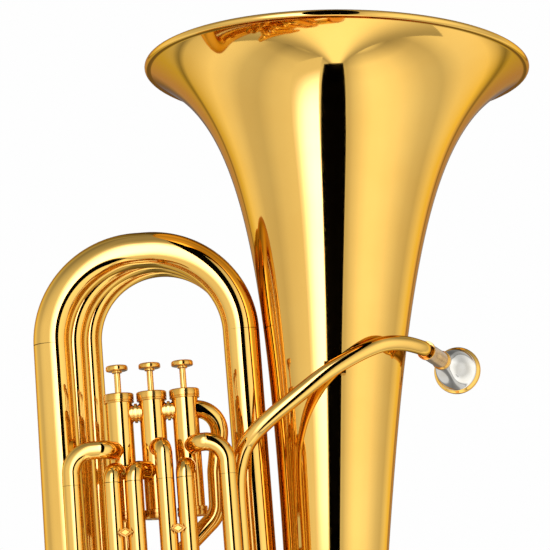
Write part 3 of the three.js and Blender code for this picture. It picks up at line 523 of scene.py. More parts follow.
def dress(obj: Piece, node: str, body: str = "tuba_body",
          finish: Finish = Finish.LACQUERED_BRASS) -> None:
    """Gives a piece its finish and its place in the model.

    Args:
        obj: the piece.
        node: the CAD node that it stands for.
        body: the moving body that it rides on.
        finish: its finish.
    """
    obj.data.materials.clear()
    obj.data.materials.append(finish.material)
    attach(obj, body)
    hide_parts(node)
    LOG.info("%s: %d faces, %s", obj.name, len(obj.data.polygons), finish.value[1].name)


def gild(name: str, place: Matrix, height: float, inner: float = 0.0) -> None:
    """Gives the upper end of a turned piece the finish of lacquered brass.

    Args:
        name: the piece.
        place: where its axis stands.
        height: from how far along the axis it is gilded.
        inner: how far from the axis the gilding starts.
    """
    obj = bpy.data.objects[name]
    obj.data.materials.append(Finish.LACQUERED_BRASS.material)
    up = place.to_3x3() @ Vector((0, 0, 1))
    for face in obj.data.polygons:
        spot = face.center / MM - place.translation
        if spot.dot(up) > height and (spot - up * spot.dot(up)).length >= inner:
            face.material_index = 1


def dress_node(node: str, finish: Finish) -> None:
    """Gives a CAD node whose shape is already right its finish."""
    obj = frame["nodes"][node]
    obj.data.materials.clear()
    obj.data.materials.append(finish.material)
    LOG.info("%s keeps its own shape, %s", node, finish.value[1].name)


# ---------------------------------------------------------------- bell and bows


@dataclass
class Bell:
    """The bell: the table gives its clearances, and one smooth curve through it gives its skin."""

    rim_height: float = 949.0
    rim_radius: float = 187.0
    foot: float = 160.0
    wall: float = 0.9
    bead: float = 3.2  # radius of the rolled edge
    flare: tuple[float, float, float, float, float] = (-19.9, 140.73, 46.6, 0.4605, 0.00866)
    shape: list[tuple[float, float]] = field(default_factory=lambda: [
        (0.000, 0.1845), (0.102, 0.196), (0.2295, 0.215), (0.331, 0.2385), (0.411, 0.265),
        (0.517, 0.307), (0.627, 0.356), (0.738, 0.415), (0.813, 0.471), (0.8685, 0.548),
        (0.906, 0.622), (0.938, 0.699), (0.9535, 0.760), (0.968, 0.806), (0.980, 0.857),
        (0.9897, 0.930)])

    def table(self) -> list[tuple[float, float]]:
        """Height and radius of each point of the flare."""
        length = self.rim_height - 3.5 - self.foot
        return [(self.foot + length * up, self.rim_radius * out) for up, out in self.shape]

    def radius_at(self, height: float) -> float:
        """The bell's radius at a height."""
        spots = self.table()
        for (z0, r0), (z1, r1) in zip(spots, spots[1:]):
            if z0 <= height <= z1:
                return lerp(r0, r1, (height - z0) / (z1 - z0))
        return spots[-1][1]

    def skin_at(self, height: float) -> float:
        """The smooth skin's radius at a height: a horn that opens faster towards its rim."""
        base, scale, reach, power, slope = self.flare
        left = self.rim_height - 3.5 + reach - height
        return base + scale * (left / 100) ** -power + slope * (height - self.foot)

    def outline(self) -> Table:
        """The flare, the rolled bead and the inside, as radius and height."""
        low, high, steps = self.foot + GAP, self.rim_height - 6.8, 110
        heights = [low + (high - low) * (1 - (1 - k / steps) ** 1.8) for k in range(steps + 1)]
        skin = [Vector((self.skin_at(height), height, 0)) for height in heights]
        outside = [(p.x, p.y) for p in skin]
        inside = []
        for before, here, after in zip(skin, skin[1:], skin[2:]):
            way = (after - before).normalized()
            inside.append((here.x - way.y * self.wall, here.y + way.x * self.wall))
        inside.insert(0, (skin[0].x - self.wall, skin[0].y))
        bead = self.bead
        across, up = self.rim_radius - bead, self.rim_height - bead - 0.2
        angles = [math.radians(-105 + 245 * k / 14) for k in range(15)]
        roll = [(across + bead * math.cos(a), up + bead * math.sin(a)) for a in angles]
        return [*outside, *roll, *reversed(inside), outside[0]]

    def build(self) -> None:
        """Models the bell."""
        obj = turned("bell_flare", self.outline(), 180, Matrix.Translation(SHIFT), smooth=50)
        dress(obj, "bell")


@dataclass
class BottomBow:
    """The bottom bow, the leg that comes down into it, and the guard round it."""

    axis_height: float = 30.8
    leg_foot_radius: float = 23.0
    leg_head_radius: float = 18.4
    bell_radius: float = 34.5
    leg_across: float = -210.98
    leg_head: float = 694.4
    splay: float = 4.0
    ferrule: float = 14.0
    rise: float = 0.9
    guard_wall: float = 1.2
    guard_spread: float = 50.0

    def leg(self) -> tuple[Vector, Vector]:
        """The head of the leg's axis and the way it goes down."""
        head = leaning(self.leg_across, 0, self.leg_head)
        return head, (leaning(self.leg_across + self.splay, 0, 0) - head).normalized()

    def corners(self) -> tuple[Route, float]:
        """The bow's corners and its bend radius."""
        head, down = self.leg()
        floor = upright(0, 0, self.axis_height)
        left = head + down * ((floor.z - head.z) / down.z)
        turn = down.angle(Vector((1, 0, 0)))
        bend = 0.98 * (left - floor).length / (1 + math.tan(turn / 2))
        foot = left - down * bend * math.tan(turn / 2)
        return [foot, left, floor, upright(0, 0, 160)], bend

    def build(self) -> None:
        """Models the bow, the leg and the guard."""
        corners, bend = self.corners()
        route = bent_route(corners, [bend, bend])
        length = length_of(route)
        r0, r1 = self.leg_foot_radius, self.bell_radius

        def radius(distance: float) -> float:
            return lerp(r0, r1, distance / length)

        table = [(0, r0 + self.rise), (self.ferrule - 0.4, radius(self.ferrule) + self.rise),
                 (self.ferrule, radius(self.ferrule)),
                 (length - self.ferrule, radius(length - self.ferrule)),
                 (length - self.ferrule + 0.4, radius(length - self.ferrule) + self.rise),
                 (length, r1 + self.rise)]
        dress(sweep("bottom_bow_tube", route, table, 68), "bottom_bow")
        head, _ = self.leg()
        leg = bent_route([head, corners[0] + (head - corners[0]).normalized() * GAP], [])
        dress(sweep("outer_leg_tube", leg, [(0, self.leg_head_radius), (length_of(leg), r0)], 68),
              "large_outer_leg")
        self.guard(route, radius, length)

    def guard(self, route: Route, radius: Callable[[float], float], length: float) -> None:
        """Models the guard: a wider tube round the bow, of which only the outer side is kept.

        Args:
            route: the bow's run.
            radius: gives the bow's radius at a distance.
            length: the bow's length.
        """
        clear = 0.6 + self.guard_wall
        marks = distances(route)
        kept = [i for i, mark in enumerate(marks) if 0.16 * length < mark < 0.84 * length]
        run = [route[i] for i in kept]
        table = [(marks[i] - marks[kept[0]], radius(marks[i]) + clear) for i in kept]
        obj = sweep("bow_guard_tube", run, table, 68)
        outward = []
        for i in kept:
            way = (route[i + 1] - route[i - 1]).normalized()
            outward.append(Vector((0, 1, 0)).cross(way))
        take(obj)
        bpy.ops.object.mode_set(mode="EDIT")
        bpy.ops.mesh.select_mode(type="FACE")
        bpy.ops.mesh.select_all(action="DESELECT")
        bpy.ops.object.mode_set(mode="OBJECT")
        spread = math.cos(math.radians(self.guard_spread))
        for face in obj.data.polygons:
            middle = face.center / MM
            near = min(range(len(run)), key=lambda i: (run[i] - middle).length_squared)
            arm = (middle - run[near])
            arm -= arm.project(Vector((0, 1, 0)).cross(outward[near]))
            face.select = arm.length < 5 or arm.normalized().dot(outward[near]) < spread
        bpy.ops.object.mode_set(mode="EDIT")
        bpy.ops.mesh.delete(type="FACE")
        bpy.ops.mesh.select_mode(type="VERT")
        bpy.ops.object.mode_set(mode="OBJECT")
        modify(obj, "SOLIDIFY", thickness=self.guard_wall * MM, offset=-1)
        modify(obj, "BEVEL", width=0.35 * MM, segments=2, limit_method="ANGLE",
               angle_limit=math.radians(50))
        smooth_below(30)
        dress(obj, "bottom_bow_guard", finish=Finish.NICKEL)


@dataclass
class Branches:
    """The large, middle and small branches and the lower bows between them."""

    large: tuple[float, float] = (-210.98, -31.48)
    large_top: float = 779.7
    large_bend: float = 85.0
    middle: tuple[float, float] = (-195.48, -31.48)
    middle_depth: float = 34.6
    middle_top: float = 778.8
    small: tuple[float, float] = (-181.48, -33.48)
    small_depth: float = 62.8
    small_top: float = 777.0
    lower: float = 325.0
    small_lower: float = 290.0
    sleeve_foot: float = 450.0
    sleeve: float = 10.8
    ferrule: float = 14.0
    rise: float = 0.9

    def arch(self, sides: tuple[float, float], depth: float, top: float, bend: float,
             feet: tuple[float, float]) -> Route:
        """The run of a branch: up one side, over and down the other."""
        left, right = sides
        spots = [(left, feet[0]), (left, top), (right, top), (right, feet[1])]
        return in_plane(depth, spots, [bend, bend], 3.0)

    def build(self) -> None:
        """Models all the branches and lower bows."""
        join = self.large_top - self.large_bend
        bow = self.arch(self.large, 0, self.large_top, self.large_bend, (join, join))
        length = length_of(bow)
        self.show("large_top_bow", bow, [(0, 18.4), (length / 2, 17.2), (length, 17.4)])
        inner = [leaning(self.large[1], 0, join - GAP), leaning(self.large[1], 0, self.lower)]
        self.show("large_inner_leg", inner, [(0, 17.4), (length_of(inner), 16.6)])
        middle = self.arch(self.middle, self.middle_depth, self.middle_top, 81.99,
                           (self.lower, self.small_lower))
        self.show("middle_branch", middle, [(0, 15), (length_of(middle), 14)])
        small = self.arch(self.small, self.small_depth, self.small_top, 73.99,
                          (self.small_lower, self.sleeve_foot))
        end = length_of(small)
        self.show("small_branch", small, [
            (0, 13.2), (end - 160, 12.2), (end - 100, self.sleeve),
            *collar(end - 12, end, self.sleeve, self.rise)], wall=0.5)
        self.bow("middle_lower_bow", (self.middle[0], self.middle_depth), (self.large[1], 0),
                 self.lower, 15, 16.6)
        self.bow("small_lower_bow", (self.small[0], self.small_depth),
                 (self.middle[1], self.middle_depth), self.small_lower, 13.2, 14)

    def bow(self, node: str, left: tuple[float, float], right: tuple[float, float], height: float,
            start: float, end: float) -> None:
        """Models a lower bow with a ferrule at each end."""
        bend = math.hypot(right[0] - left[0], right[1] - left[1]) / 2 - 0.01
        bottom = height - GAP - self.ferrule - bend
        route = bent_route([leaning(*left, height - GAP), leaning(*left, bottom),
                            leaning(*right, bottom), leaning(*right, height - GAP)], [bend, bend])
        length = length_of(route)
        self.show(node, route, [
            (0, start + self.rise), (self.ferrule - 0.4, start + self.rise), (self.ferrule, start),
            (length - self.ferrule, end), (length - self.ferrule + 0.4, end + self.rise),
            (length, end + self.rise)])

    def show(self, node: str, route: Route, table: Table, wall: float = 0.0) -> None:
        """Models one run of tube and dresses it."""
        dress(sweep(f"{node}_tube", route, table, 68, wall), node)


# ---------------------------------------------------------------- valves


@dataclass
class ValveBlock:
    """Three valves: casing, caps, piston, spring and finger button each."""

    across: tuple[float, float, float] = (-88.2, -118.5, -148.8)
    depth: float = -48.0
    casing: float = 12.0
    foot: float = 521.5
    top: float = 634.0
    cap: float = 14.0
    piston: float = 10.9
    piston_foot: float = 553.0
    piston_top: float = 626.0
    stem: float = 2.95
    button: float = 10.2
    button_top: float = 662.9
    button_thick: float = 7.0

    def build(self) -> None:
        """Models the three valves."""
        for number, across in enumerate(self.across, start=1):
            place = standing(across, self.depth)
            body = f"piston_{number}_body"
            self.make(f"valve_casing_{number}", self.casing_outline(), place)
            self.make(f"top_cap_{number}", self.top_cap_outline(), place, finish=Finish.SATIN_BRASS)
            self.make(f"bottom_cap_{number}", self.bottom_cap_outline(), place,
                      finish=Finish.SATIN_BRASS)
            self.make(f"piston_{number}", self.piston_outline(), place, body, Finish.NICKEL)
            gild(f"piston_{number}_turned", place, self.piston_top + 0.5)
            self.make(f"finger_button_{number}", self.button_outline(), place, body,
                      Finish.SATIN_BRASS)
            self.spring(number, across)

    def make(self, node: str, outline: Table, place: Matrix, body: str = "tuba_body",
             finish: Finish = Finish.LACQUERED_BRASS) -> None:
        """Turns one part of a valve and dresses it."""
        dress(turned(f"{node}_turned", outline, 72, place, smooth=30), node, body, finish)

    def casing_outline(self) -> Table:
        """The casing: a thin sleeve, plain between its two caps."""
        r, inner, foot, top = self.casing, self.casing - 0.8, self.foot, self.top
        return [(r, foot), (r, lerp(foot, top, 0.5)), (r, top), (inner, top), (inner, foot),
                (r, foot)]

    def top_cap_outline(self) -> Table:
        """The top cap: rounded rim, shallow dish and a collar for the stem."""
        r, roof, hole = self.cap, self.top + GAP, self.stem + GAP
        skirt, fit = roof - 6.5, self.casing + GAP
        return [
            (fit, roof), (fit, skirt), (r - 0.4, skirt), (r, skirt + 0.4), (r, skirt + 1.2),
            (r - 0.45, skirt + 1.6), (r - 0.45, skirt + 2.0), (r, skirt + 2.4), (r, roof + 0.9),
            (r - 0.25, roof + 1.5), (r - 0.9, roof + 2.0), (r - 2.2, roof + 2.1),
            (r - 3.0, roof + 1.7), (8.0, roof + 1.7), (6.6, roof + 1.9), (5.4, roof + 2.2),
            (5.0, roof + 2.4), (hole + 0.3, roof + 2.4), (hole, roof + 2.2), (hole, roof),
            (fit, roof)]

    def bottom_cap_outline(self) -> Table:
        """The bottom cap: a cup with a grooved rim and a small drain boss."""
        r, floor = self.cap, self.foot - GAP
        fit = self.casing + GAP
        return [
            (0, floor), (fit, floor), (fit, floor + 6.5), (r - 0.4, floor + 6.5),
            (r, floor + 6.1), (r, floor + 3.4), (r - 0.45, floor + 3.0), (r - 0.45, floor + 2.5),
            (r, floor + 2.1), (r, floor - 1.0), (r - 0.3, floor - 1.6), (r - 1.0, floor - 2.0),
            (8.5, floor - 2.1), (7.5, floor - 1.5), (5.2, floor - 1.5), (4.4, floor - 2.4),
            (3.4, floor - 2.6), (0, floor - 2.6)]

    def piston_outline(self) -> Table:
        """The piston with its stem, open below for the spring."""
        r, inner, stem, roof = self.piston, self.piston - 1.2, self.stem, self.piston_top
        seat = self.button_top - self.button_thick - GAP
        return [
            (r - 0.4, self.piston_foot), (r, self.piston_foot + 0.5), (r, roof - 1.0),
            (r - 0.8, roof), (stem + 1.6, roof), (stem, roof + 1.4), (stem, seat), (0, seat),
            (0, roof - 1.2), (inner, roof - 1.2), (inner, self.piston_foot),
            (r - 0.4, self.piston_foot)]

    def button_outline(self) -> Table:
        """The finger button: a hub below, a thick rounded edge and a shallow dish on top."""
        r, top, foot = self.button, self.button_top, self.button_top - self.button_thick
        return [
            (0, foot), (4.4, foot), (4.7, foot + 0.3), (4.7, foot + 1.2), (4.9, foot + 1.6),
            (8.6, foot + 1.8), (9.6, foot + 2.1), (r - 0.1, foot + 2.7), (r, foot + 3.3),
            (r - 0.1, top - 1.5), (r - 0.4, top - 0.8), (r - 1.0, top - 0.2), (r - 1.7, top),
            (r - 2.4, top - 0.15), (r - 3.4, top - 0.6), (r - 5.5, top - 0.9), (0, top - 1.0)]

    def spring(self, number: int, across: float) -> None:
        """Winds the spring under a piston."""
        low, high = self.foot + 0.6, self.piston_foot - GAP - 0.6
        turns, around, coil_radius = 5, 24, 7.5
        coil = []
        for k in range(turns * around + 1):
            angle = 2 * math.pi * k / around
            rise = lerp(low, high, k / (turns * around))
            coil.append(leaning(across + coil_radius * math.cos(angle),
                                self.depth + coil_radius * math.sin(angle), rise))
        obj = sweep(f"valve_spring_{number}_wire", coil, [(0, 0.6), (length_of(coil), 0.6)], 10)
        dress(obj, f"valve_spring_{number}", finish=Finish.SPRING_STEEL)


@dataclass
class SlidePair:
    """One valve slide's two outer tubes and what hangs in them."""

    name: str
    left: float
    right: float
    foot: float
    insertion: float


@dataclass
class ValveSlides:
    """The knuckles out of the valves, the outer tubes under them, and the crooks that slide."""

    valves: ValveBlock
    depth: float = -78.0
    radius: float = 8.3
    wall: float = 0.65
    top: float = 552.5
    lower_port: float = 563.3
    upper_port: float = 583.3
    entry_port: float = 617.5
    stub: float = 16.0
    pairs: tuple[SlidePair, ...] = (
        SlidePair("third", -194.0, -157.8, 250.0, 150.0),
        SlidePair("second", -138.1, -109.8, 458.0, 70.0),
        SlidePair("first", -91.6, -53.0, 340.0, 120.0),
    )

    def build(self) -> None:
        """Models the knuckles, tubes, crooks and the bridges between the valves."""
        first, second, third = self.valves.across
        left, middle, right = self.pairs
        self.long_knuckle("third_slide_left_knuckle", third, left.left, 20)
        self.short_knuckle("third_slide_right_knuckle", third, self.lower_port, left.right)
        self.short_knuckle("second_slide_left_knuckle", second, self.lower_port, middle.left)
        self.short_knuckle("second_slide_right_knuckle", second, self.upper_port, middle.right)
        self.short_knuckle("first_slide_left_knuckle", first, self.lower_port, right.left)
        self.long_knuckle("first_slide_right_knuckle", first, right.right, 19)
        for pair in self.pairs:
            self.outer_tube(f"{pair.name}_slide_left_tube", pair.left, pair.foot)
            self.outer_tube(f"{pair.name}_slide_right_tube", pair.right, pair.foot)
            self.crook(pair)
        self.bridge("first_to_second_bridge", first, second)
        self.bridge("second_to_third_bridge", second, third)

    def from_valve(self, node: str, route: Route, valves: list[float]) -> None:
        """Models a tube that leaves a valve, cut to its casing."""
        table = [(0, self.radius), *collar(13.8, 15.6, self.radius, 0.35),
                 (length_of(route), self.radius)]
        obj = sweep(f"{node}_tube", route, table, 44)
        places = [(valve, self.valves.depth) for valve in valves]
        dress(fit_to(obj, *places), node)

    def short_knuckle(self, node: str, valve: float, port: float, target: float) -> None:
        """A knuckle with one bend."""
        start = lerp(valve, target, 0.1)
        self.from_valve(node, bent_route(
            [leaning(start, self.valves.depth, port), leaning(target, self.depth, port),
             leaning(target, self.depth, self.top + GAP)], [10.3]), [valve])

    def long_knuckle(self, node: str, valve: float, target: float, sweep_radius: float) -> None:
        """A knuckle that comes forward, runs sideways and turns down."""
        side = math.copysign(1.0, target - valve)
        port, aside = self.upper_port, min(13.0, abs(target - valve) - sweep_radius - 5.0)
        self.from_valve(node, bent_route(
            [leaning(valve + side * 2.5, self.valves.depth, port),
             leaning(valve + side * aside, self.depth, port),
             leaning(target, self.depth, port), leaning(target, self.depth, self.top + GAP)],
            [9.0, sweep_radius]), [valve])

    def outer_tube(self, node: str, across: float, foot: float) -> None:
        """An outer tube with a ferrule at its open end."""
        route = [leaning(across, self.depth, self.top), leaning(across, self.depth, foot)]
        length = self.top - foot
        table = [(0, self.radius), *collar(length - 9, length, self.radius, 0.6)]
        dress(sweep(f"{node}_shell", route, table, 44, self.wall), node)

    def crook(self, pair: SlidePair) -> None:
        """Two inner legs and the bow between them, with a collar where the bow is soldered on."""
        bend = abs(pair.right - pair.left) / 2 - 0.01
        turn = pair.foot - self.stub - bend
        top = pair.foot + pair.insertion
        route = in_plane(self.depth, [(pair.left, top), (pair.left, turn), (pair.right, turn),
                                      (pair.right, top)], [bend, bend])
        length, inner, leg = length_of(route), 7.35, pair.insertion + GAP
        table = [
            (0, inner), (leg, inner), *collar(leg + 0.02, leg + 9, self.radius, 0.6),
            *collar(length - leg - 9, length - leg - 0.02, self.radius, 0.6),
            (length - leg, inner), (length, inner)]
        dress(sweep(f"{pair.name}_slide_bow", route, table, 44, self.wall),
              f"{pair.name}_slide_crook", f"{pair.name}_slide_body")

    def bridge(self, node: str, right: float, left: float) -> None:
        """The short tube between two valves, with a band round its middle."""
        depth, port = self.valves.depth, self.entry_port
        route = [leaning(right, depth, port), leaning(left, depth, port)]
        middle, length = (right - left) / 2, right - left
        waist = self.radius - 1.0
        table = [(0, waist), (middle - 4.6, waist), *collar(middle - 4.4, middle - 2.4, waist, 0.9),
                 *collar(middle - 1.5, middle + 1.5, waist, 1.7),
                 *collar(middle + 2.4, middle + 4.4, waist, 0.9), (length, waist)]
        obj = sweep(f"{node}_tube", route, table, 44)
        dress(fit_to(obj, (right, depth), (left, depth)), node)


# ---------------------------------------------------------------- mouthpipe and tuning slide


@dataclass
class TuningSlide:
    """The exit tube of the third valve and the main tuning slide's crook."""

    valves: ValveBlock
    across: float = -153.0
    depth: float = 14.0
    port: float = 600.0
    radius: float = 8.5
    sleeve: float = 10.8
    foot: float = 450.0
    leg: float = 9.45
    insertion: float = 75.0
    stub: float = 55.0
    partner: tuple[float, float] = (-33.48, 62.8)

    def build(self) -> None:
        """Models the exit tube and the crook."""
        valve = self.valves.across[2]
        route = bent_route([leaning(valve - 1.2, self.valves.depth, self.port),
                            leaning(self.across, self.depth, self.port),
                            leaning(self.across, self.depth, self.foot)], [22])
        end = length_of(route)
        table = [(0, self.radius), (end - 112, self.radius), (end - 100, self.sleeve),
                 *collar(end - 12, end, self.sleeve, 0.9)]
        tube = sweep("valve_exit_tube_shell", route, table, 52, 0.5)
        dress(fit_to(tube, (valve, self.valves.depth)), "valve_exit_tube")
        bend = math.hypot(self.partner[0] - self.across, self.partner[1] - self.depth) / 2 - 0.01
        turn, top = self.foot - self.stub - bend, self.foot + self.insertion
        crook = bent_route([leaning(self.across, self.depth, top),
                            leaning(self.across, self.depth, turn),
                            leaning(*self.partner, turn), leaning(*self.partner, top)],
                           [bend, bend])
        table = [(0, self.leg), (length_of(crook), self.leg)]
        dress(sweep("tuning_slide_bow", crook, table, 52, 0.65),
              "tuning_slide_crook", "tuning_slide_body")


@dataclass
class Mouthpipe:
    """The mouthpipe round the bell, its bow, the return to the first valve, and the receiver."""

    bell: Bell
    valves: ValveBlock
    axis: Vector = field(default_factory=lambda: Vector((0.325, 0.945, -0.023)).normalized())
    near: float = 6.9  # radius at the receiver
    far: float = 7.9  # radius at the bow
    across: float = -45.5
    depth: float = -52.0
    foot: float = 372.0

    def crossing(self, degrees: float, height: float, clearance: float) -> Vector:
        """A point of the mouthpipe as it goes round the front of the bell."""
        reach = self.bell.radius_at(height) + clearance + self.near
        angle = math.radians(degrees)
        return upright(reach * math.sin(angle), -reach * math.cos(angle), height)

    def receiver_start(self) -> Vector:
        """Where the receiver takes over."""
        return self.crossing(66.9, 666.1, 14.5)

    def route(self) -> Route:
        """The mouthpipe's run, from its foot to the receiver."""
        a, d, end = self.across, self.depth, self.receiver_start()
        return smooth_route([
            leaning(a, d, self.foot + GAP), leaning(a, d, 489), leaning(a + 0.9, d, 548.5),
            leaning(a + 4.4, d - 2, 564.6), leaning(a + 10.6, d - 6, 578.7),
            leaning(a + 24.6, d - 14, 593.3), self.crossing(-25, 619.6, 13.5),
            self.crossing(-2.5, 643.6, 6.5), self.crossing(27.5, 665.1, 7),
            self.crossing(44, 668.4, 10.5), end - self.axis * 13, end - self.axis * 4, end])

    def build(self) -> None:
        """Models the mouthpipe, its bow, the return, the receiver and the mouthpiece."""
        route = self.route()
        length = length_of(route)
        table = [(0, self.far), (length * 0.45, self.far), (length, self.near)]
        dress(sweep("mouthpipe_tube", route, table, 48, 0.7), "mouthpipe")
        self.bow()
        self.way_back()
        self.receiver()
        self.mouthpiece()

    def bow(self) -> None:
        """The bow under the mouthpipe, with its two ferrules."""
        back = (-103.5, -26.0)
        span = math.hypot(back[0] - self.across, back[1] - self.depth)
        low = self.foot - 10 - span / 2
        route = bent_route([leaning(*back, self.foot), leaning(*back, low),
                            leaning(self.across, self.depth, low),
                            leaning(self.across, self.depth, self.foot)],
                           [span / 2 - 0.01, span / 2 - 0.01])
        length = length_of(route)
        table = [*collar(0, 9, 8.2, 0.7), *collar(length - 9, length, 8.2, 0.7)]
        dress(sweep("mouthpipe_bow_tube", route, table, 44, 0.65), "mouthpipe_bow")

    def way_back(self) -> None:
        """The tube from the bow up into the first valve."""
        valve, depth = self.valves.across[0], self.valves.depth
        route = bent_route([
            leaning(valve, depth, 617.5), leaning(valve + 33.7, depth + 4, 617.1),
            leaning(valve + 23.7, depth + 14, 560), leaning(valve + 22.7, depth + 20, 521),
            leaning(-103.5, -26, 487), leaning(-103.5, -26, self.foot + GAP)], [22, 30, 24, 22])
        tube = sweep("mouthpipe_return_tube", route, [(0, 8.2), (length_of(route), 8.2)], 44)
        dress(fit_to(tube, (valve, depth)), "mouthpipe_return")

    def receiver(self) -> None:
        """The receiver: a tapered socket with a ring at each end."""
        place = along(self.receiver_start() + self.axis * 0.6, self.axis)
        outline = [
            (6.2, 0), (8.6, 0), (8.9, 0.3), (8.9, 3.2), (8.5, 3.9), (7.9, 4.6), (7.8, 5.4),
            (8.0, 20), (8.1, 37), (8.1, 50), (8.1, 53.6), (8.6, 54.0), (8.6, 54.8), (8.1, 55.2),
            (8.4, 55.8), (9.0, 56.3), (9.2, 56.9), (9.2, 60.9), (8.9, 61.6), (8.3, 62.0),
            (6.6, 62.0), (5.8, 36.7), (5.2, 36.7), (6.2, 0)]
        dress(turned("receiver_turned", outline, 64, place, smooth=28), "mouthpiece_receiver",
              finish=Finish.SATIN_BRASS)

    def mouthpiece(self) -> None:
        """The mouthpiece: tapered shank, cup and a rounded rim."""
        start = self.receiver_start() + self.axis * (0.6 + 37.0)
        rim = 23.4
        outline = [
            (4.3, 0), (5.3, 0), (5.5, 0.3), (6.3, 25), (6.6, 34), (6.9, 37), (7.4, 39.5),
            (8.3, 43), (9.6, 47.2), (11.4, 51.4), (13.4, 55.6), (15.4, 60.0), (17.2, 65.0),
            (18.5, 70.0), (19.3, 75.0), (19.8, 78.6), (20.3, 80.4), (21.3, 81.6), (22.5, 82.5),
            (23.1, 83.3), (rim, 84.4), (rim, 85.7), (23.1, 86.8), (22.4, 87.5), (21.3, 87.9),
            (20.2, 88.0), (19.0, 87.8), (17.8, 87.1), (16.9, 86.0), (16.4, 84.6), (16.1, 82.0),
            (15.4, 76.0), (13.6, 69.0), (10.6, 62.0), (7.0, 56.0), (4.6, 52.0), (3.9, 49.0),
            (3.8, 44.0), (4.3, 0)]
        place = along(start, self.axis)
        dress(turned("mouthpiece_turned", outline, 72, place, smooth=35),
              "mouthpiece", "mouthpiece_body", Finish.SILVER_PLATE)
        gild("mouthpiece_turned", place, 80.0, 17.0)


# ---------------------------------------------------------------- braces and water key


@dataclass
class Braces:
    """The plates between the slides and the rod that holds the third slide to the large leg."""

    slides: ValveSlides
    bow: BottomBow
    plate: tuple[float, float, float] = (14.4, 9.2, 1.7)
    height: float = 507.0
    rod: float = 2.8
    rod_height: float = 488.0

    def build(self) -> None:
        """Models the braces."""
        third, second, first = self.slides.pairs
        self.diamond("third_to_second_brace", (third.right + second.left) / 2)
        self.diamond("second_to_first_brace", (second.right + first.left) / 2)
        self.leg_brace()
        dress_node("bell_brace", Finish.SATIN_BRASS)
        dress_node("mouthpipe_brace", Finish.SATIN_BRASS)

    def diamond(self, node: str, across: float) -> None:
        """A bevelled diamond plate with a raised middle."""
        width, tall, thick = self.plate
        deselect()
        bpy.ops.mesh.primitive_circle_add(vertices=4, radius=1, fill_type="NGON",
                                          location=(0, 0, 0))
        obj = bpy.context.object
        obj.name = f"{node}_plate"
        bpy.ops.object.mode_set(mode="EDIT")
        bpy.ops.mesh.select_all(action="SELECT")
        bpy.ops.transform.resize(value=(width / 2 * MM, tall / 2 * MM, 1),
                                 center_override=(0, 0, 0))
        bpy.ops.mesh.extrude_region_move(TRANSFORM_OT_translate={"value": (0, 0, thick * 0.8 * MM)})
        bpy.ops.mesh.inset(thickness=1.0 * MM, depth=0)
        bpy.ops.transform.translate(value=(0, 0, -thick * 0.35 * MM))
        bpy.ops.mesh.inset(thickness=0.7 * MM, depth=0)
        bpy.ops.transform.translate(value=(0, 0, thick * 0.55 * MM))
        bpy.ops.object.mode_set(mode="OBJECT")
        turn = Matrix.Rotation(math.pi / 2, 4, "X")
        lean = Matrix.Rotation(-LEAN, 4, "Y")
        place = leaning(across, self.slides.depth - self.slides.radius - GAP, self.height)
        obj.data.transform(Matrix.Translation(place * MM) @ lean @ turn)
        finish_shell(obj, smooth=20)
        modify(obj, "BEVEL", width=0.3 * MM, segments=3)
        smooth_below(30)
        dress(obj, node, finish=Finish.SATIN_BRASS)

    def leg_brace(self) -> None:
        """A rod with a round foot on the large leg and a smaller one on the slide's tube."""
        side = leaning(self.slides.pairs[0].left, self.slides.depth, self.rod_height)
        head, down = self.bow.leg()
        leg = head + down * ((side.z - head.z) / down.z)
        way = leg - side
        length, r = way.length, self.rod
        foot, tip = length - 20.2, 8.6
        outline = [
            (0, tip), (r * 1.8, tip), (r * 1.85, tip + 0.6), (r * 1.8, tip + 2.2),
            (r * 1.3, tip + 3.4), (r, tip + 5.0), (r, foot - 7.2), (r * 1.3, foot - 5.4),
            (r * 2.2, foot - 4.0), (r * 2.55, foot - 3.2), (r * 2.6, foot - 2.4),
            (r * 2.6, foot), (0, foot)]
        dress(turned("leg_brace_rod", outline, 48, along(side, way.normalized()), smooth=35),
              "leg_brace", finish=Finish.SATIN_BRASS)


def water_key() -> None:
    """The water key's parts keep their own shapes."""
    for node in ("water_key_nipple", "water_key_saddle", "water_key_lever"):
        dress_node(node, Finish.SATIN_BRASS)


# ---------------------------------------------------------------- studio


